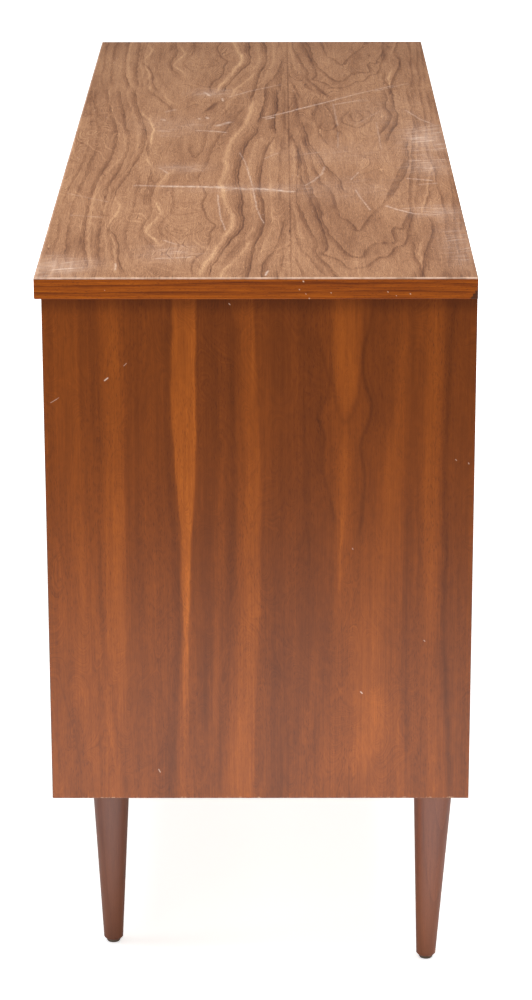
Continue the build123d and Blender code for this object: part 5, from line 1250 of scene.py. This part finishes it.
def build_top():
    bevel = 0.0009
    shape = (320, 620)
    xs = np.linspace(TOP_LOW.x + bevel, TOP_HIGH.x - bevel, shape[0])
    ys = np.linspace(TOP_LOW.y + bevel, TOP_HIGH.y - bevel, shape[1])
    along = (xs - TOP_LOW.x) * 1000.0
    across = (ys - TOP_LOW.y) * 1000.0
    front = across <= SEAM
    tone_0, ring_0 = figure(along, across[front], TOP_LEAF_FRONT, 5, PERIOD, narrow=0.68)
    tone_1, ring_1 = figure(along, across[~front], TOP_LEAF_BACK, 9, PERIOD, narrow=0.68)
    tone = np.concatenate([tone_0, tone_1], 1)
    # flank is 1 where the rings, averaged over 15 columns, crowd together
    slope = np.concatenate([np.abs(np.gradient(ring, axis=1)) for ring in (ring_0, ring_1)],
                           1) / (across[1] - across[0])
    kernel = np.ones(15) / 15.0
    slope = np.apply_along_axis(
        lambda row: np.convolve(np.pad(row, 7, mode="edge"), kernel, "valid"), 1, slope)
    flank = smoothstep(np.clip((slope - 0.07) / 0.13, 0, 1))
    tone += -0.45 * np.exp(-((across - SEAM) / 0.7) ** 2)[None, :]
    tone += 0.14 * smooth_noise(shape, (9, 14), 3) + 0.10 * smooth_noise(shape, (26, 60), 4)
    scuff = sum(strength * np.exp(-(((across[None, :] - c) / spread_c) ** 2
                                    + ((along[:, None] - a) / spread_a) ** 2))
                for c, a, spread_c, spread_a, strength in SCUFFS)
    top = sheet("top_laminate_sheet", materials["laminate"],
                grid(xs[:, None], ys[None, :], TOP_HIGH.z), inward=(0, 0, -1),
                thick=TOP_HIGH.z - TOP_LOW.z, bevel=bevel,
                attributes={"tone": tone, "ring": np.concatenate([ring_0, ring_1 + 40.0], 1),
                            "scuff": scuff, "flank": flank})
    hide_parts("top_laminate")


def splinter(loop):
    """Raise the veneer's lower edge unevenly, most near two places."""
    loop = loop.copy()
    low = loop[:, 2] < END_LOW.z + 0.002
    rng = np.random.default_rng(8)
    across = (loop[:, 1] - END_LOW.y) * 1000
    depth = (0.0005 + 0.0022 * np.exp(-((across - 55) / 28) ** 2)
             + 0.0008 * np.exp(-((across - 330) / 40) ** 2))
    loop[low, 2] += (depth * np.clip(rng.normal(0.3, 0.5, len(loop)), 0, 1))[low]
    return loop


def build_end_veneer(name, side, figure_seed, noise_seed):
    """Veneer on one end, proud of the panel by a hair; side is +1 right, -1 left."""
    shape = (140, 380)
    zs = np.linspace(END_HIGH.z - 0.0004, END_LOW.z + 0.0006, shape[0])
    ys = np.linspace(END_LOW.y + 0.0009, END_HIGH.y - 0.0006, shape[1])
    along = (END_HIGH.z - zs) * 1000.0
    across = (ys - END_LOW.y) * 1000.0
    tone, ring = figure(along, across, END_LINES, figure_seed)
    tone += bands(along, across, END_BANDS)
    tone += (0.10 * smooth_noise(shape, (4, 22), noise_seed)
             + 0.06 * smooth_noise(shape, (14, 60), 7))
    veneer = sheet("end_veneer_" + name, materials["end_" + name],
                   grid(side * 0.64015, ys[None, :], zs[:, None]), inward=(-side, 0, 0),
                   thick=0.0006, bevel=0.00015, attributes={"tone": tone, "ring": ring},
                   trim=splinter)


def build_cloth(name, side, x0, x1):
    """Thin stretched speaker cloth with a slight slackness."""
    shape = (90, 60)
    zs = np.linspace(CLOTH_HIGH.z - 0.0006, CLOTH_LOW.z + 0.0006, shape[0])
    xs = np.linspace(x0 + 0.0006, x1 - 0.0006, shape[1])
    slack = (0.25 * smooth_noise(shape, (5, 4), 40 + side)
             + 0.12 * smooth_noise(shape, (14, 10), 50 + side))
    slack *= (np.sin(np.linspace(0, math.pi, shape[0]))[:, None]
              * np.sin(np.linspace(0, math.pi, shape[1]))[None, :])
    cloth = sheet("speaker_cloth_" + name, materials["grille"],
                  grid(xs[None, :], CLOTH_LOW.y + 0.00035 + 0.0010 * slack, zs[:, None]),
                  inward=(0, 1, 0), thick=max(0.0004, (CLOTH_HIGH.y - CLOTH_LOW.y) - 0.0004),
                  bevel=0.0002, attributes={"slack": slack})
    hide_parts("grille_cloths")


CLOTH_INNER = 0.3755    # x of each cloth's edge nearest the middle
build_top()
build_end_veneer("right", 1, figure_seed=21, noise_seed=6)
build_end_veneer("left", -1, figure_seed=33, noise_seed=16)
build_cloth("right", 1, CLOTH_INNER, CLOTH_HIGH.x)
build_cloth("left", -1, CLOTH_LOW.x, -CLOTH_INNER)

# =====================================================================
# dial markings: numerals and ticks, printed a hair proud
# =====================================================================
INK = 0.00006           # half thickness of the print
NUMERAL = 0.0056        # height setting of the numerals
# (name, body, x, z, radius in mm, y of the knob's face)
KNOBS = [
    ("uhf", "uhf_tuning", *UHF_DIAL, 24.0, -0.2175),
    ("volume", "volume", 0.254, 0.418, 16.0, -0.2175),
    ("tone", "tone", 0.308, 0.418, 16.0, -0.2175),
    ("brightness", "brightness", 0.254, 0.360, 12.0, -0.2150),
    ("contrast", "contrast", 0.308, 0.360, 12.0, -0.2150),
    ("vertical_hold", "vertical_hold", 0.254, 0.308, 12.0, -0.2150),
    ("horizontal_hold", "horizontal_hold", 0.308, 0.308, 12.0, -0.2150),
]


def numeral(number):
    """Vertices and faces of a number, flat in XY."""
    curve = bpy.data.curves.new("glyph", "FONT")
    curve.body = str(number)
    curve.size = NUMERAL
    curve.align_x, curve.align_y = "CENTER", "CENTER"
    curve.extrude = INK
    curve.resolution_u = 3
    holder = bpy.data.objects.new("glyph", curve)
    mesh = bpy.data.meshes.new_from_object(holder)
    vertices = [v.co.copy() for v in mesh.vertices]
    faces = [tuple(polygon.vertices) for polygon in mesh.polygons]
    bpy.data.objects.remove(holder)
    bpy.data.meshes.remove(mesh)
    bpy.data.curves.remove(curve)
    return vertices, faces


def tick(width, height):
    """Vertices and faces of a small bar, flat in XY."""
    vertices = [Vector((sx * (width / 2), sy * (height / 2), sz * INK))
                for sz in (-1, 1) for sy in (-1, 1) for sx in (-1, 1)]
    return vertices, [(0, 2, 3, 1), (4, 5, 7, 6), (0, 1, 5, 4), (2, 6, 7, 3), (0, 4, 6, 2),
                      (1, 3, 7, 5)]


def printed(name, body, ink, face, marks):
    """One object of marks (shape, centre, radius, clockwise degrees) on the plane y = face."""
    vertices, faces = [], []
    for (shape_vertices, shape_faces), (centre_x, centre_z), radius, degrees in marks:
        angle = math.radians(degrees)
        first = len(vertices)
        turn = Matrix.Rotation(-angle, 4, "Z")
        for vertex in shape_vertices:
            turned = turn @ vertex
            vertices.append((centre_x + radius * math.sin(angle) + turned.x,
                             face - turned.z,
                             centre_z + radius * math.cos(angle) + turned.y))
        faces += [tuple(first + i for i in shape_face) for shape_face in shape_faces]
    mesh = bpy.data.meshes.new(name)
    mesh.from_pydata(vertices, [], faces)
    mesh.materials.append(materials[ink])
    mesh.update()
    made = bpy.data.objects.new(name, mesh)
    bpy.context.scene.collection.objects.link(made)
    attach(made, body)


def print_dials():
    """Channel numbers on the knob skirt, scales on the plate, a pointer on each knob."""
    printed("channel_numbers", "channel_selector", "ink", -0.2041,
            [(numeral(k + 2), CHANNEL_DIAL, 0.0278, 30.0 * k) for k in range(12)])
    marks = [(tick(0.0018, 0.0050), CHANNEL_DIAL, 0.0375, 0.0)]
    marks += [(tick(0.0005, 0.0022 if k % 3 else 0.0034), CHANNEL_DIAL, 0.0385, 10.0 * k)
              for k in range(1, 36)]
    marks += [(numeral(number), UHF_DIAL, 0.0385, -140 + 40.0 * k)
              for k, number in enumerate((14, 20, 30, 40, 50, 60, 70, 83))]
    marks += [(tick(0.0005, 0.0022 if k % 4 else 0.0036), UHF_DIAL, 0.0315, -140 + 10.0 * k)
              for k in range(29)]
    printed("tuning_scale", "cabinet", "ink", PLATE_FACE, marks)
    # the small knobs' scales stand 5.8 mm outside the knobs
    marks = [(tick(*((0.0005, 0.0020) if k % 5 else (0.0009, 0.0030))), (x, z),
              radius / 1000.0 + 0.0058, -140 + 28.0 * k)
             for _, _, x, z, radius, _ in KNOBS[1:] for k in range(11)]
    printed("knob_scales", "cabinet", "ink_dark", PLATE_FACE, marks)
    # a pointer is 0.78 of the knob's radius long and centred 0.55 of it out
    for name, body, x, z, radius, face in KNOBS:
        gold = name in ("volume", "tone")
        printed("pointer_" + name, body, "ink_dark" if gold else "ink",
                face + 0.0004,
                [(tick(0.0010, radius * 0.00078), (x, z), radius * 0.00055, 0.0)])


print_dials()

# =====================================================================
# stage, light, camera
# =====================================================================
bpy.ops.mesh.primitive_plane_add(size=14.0, location=(0, 0, 0))
floor = bpy.context.object
floor.name = "floor"
floor.data.materials.append(studio_floor())
scene = bpy.context.scene


def set_world(lighting, seen):
    """White world: one strength for lighting the scene, one as the camera sees it."""
    world = bpy.data.worlds.new("studio")
    scene.world = world
    world.use_nodes = True
    tree = world.node_tree
    tree.nodes.clear()
    output = tree.nodes.new("ShaderNodeOutputWorld")
    path = tree.nodes.new("ShaderNodeLightPath")
    mix = tree.nodes.new("ShaderNodeMixShader")
    tree.links.new(path.outputs["Is Camera Ray"], mix.inputs[0])
    for slot, strength in ((1, lighting), (2, seen)):
        background = tree.nodes.new("ShaderNodeBackground")
        background.inputs[0].default_value = (1, 1, 1, 1)
        background.inputs[1].default_value = strength
        tree.links.new(background.outputs[0], mix.inputs[slot])
    tree.links.new(mix.outputs[0], output.inputs[0])


def area(name, location, target, size, power, size_y=None):
    light = bpy.data.lights.new(name, "AREA")
    light.shape = "RECTANGLE"
    light.size = size
    light.size_y = size_y or size
    light.energy = power
    lamp = bpy.data.objects.new(name, light)
    scene.collection.objects.link(lamp)
    lamp.location = location
    lamp.rotation_mode = "QUATERNION"
    aim = Vector(target) - Vector(location)
    lamp.rotation_quaternion = aim.to_track_quat("-Z", "Y")
    return lamp


def set_camera(location, lens, yaw, pitch, roll):
    """Camera looking towards -X; angles in degrees."""
    data = bpy.data.cameras.new("camera")
    camera = bpy.data.objects.new("camera", data)
    scene.collection.objects.link(camera)
    data.sensor_width = 36.0
    data.sensor_fit = "AUTO"
    data.lens = lens
    data.clip_start, data.clip_end = 0.05, 60.0
    yaw, pitch, roll = map(math.radians, (yaw, pitch, roll))
    forward = Vector((-math.cos(yaw) * math.cos(pitch), -math.sin(yaw) * math.cos(pitch),
                      -math.sin(pitch)))
    right = forward.cross(Vector((0, 0, 1))).normalized()
    up = right.cross(forward)
    rolled_right = right * math.cos(roll) + up * math.sin(roll)
    rolled_up = -right * math.sin(roll) + up * math.cos(roll)
    pose = Matrix((rolled_right, rolled_up, -forward)).transposed().to_4x4()
    pose.translation = Vector(location)
    camera.matrix_world = pose
    scene.camera = camera


set_world(lighting=0.32, seen=1.05)
area("overhead", (0.55, 0.0, 2.6), target=(0.35, 0, 0), size=2.4, power=63, size_y=2.2)
area("end_fill", (3.6, -1.5, 2.3), target=(0.5, 0, 0.4), size=1.6, power=9)
area("back_fill", (-0.4, 3.3, 2.1), target=(0, 0, 0.4), size=1.8, power=26)
left_fill = area("left_fill", (-3.4, 0.6, 0.9), target=(-0.6, 0, 0.45), size=1.4, power=14)
left_fill.visible_glossy = False
area("front_fill", (0.4, -3.4, 1.9), target=(0, 0, 0.4), size=1.8, power=22)
set_camera((3.6571, 0.0078, TOP_HIGH.z + 0.7457), lens=118.2, yaw=0.20, pitch=17.78, roll=-0.10)
scene.view_settings.view_transform = "Standard"
scene.view_settings.look = "None"
scene.view_settings.exposure = 0.0
scene.view_settings.gamma = 1.0
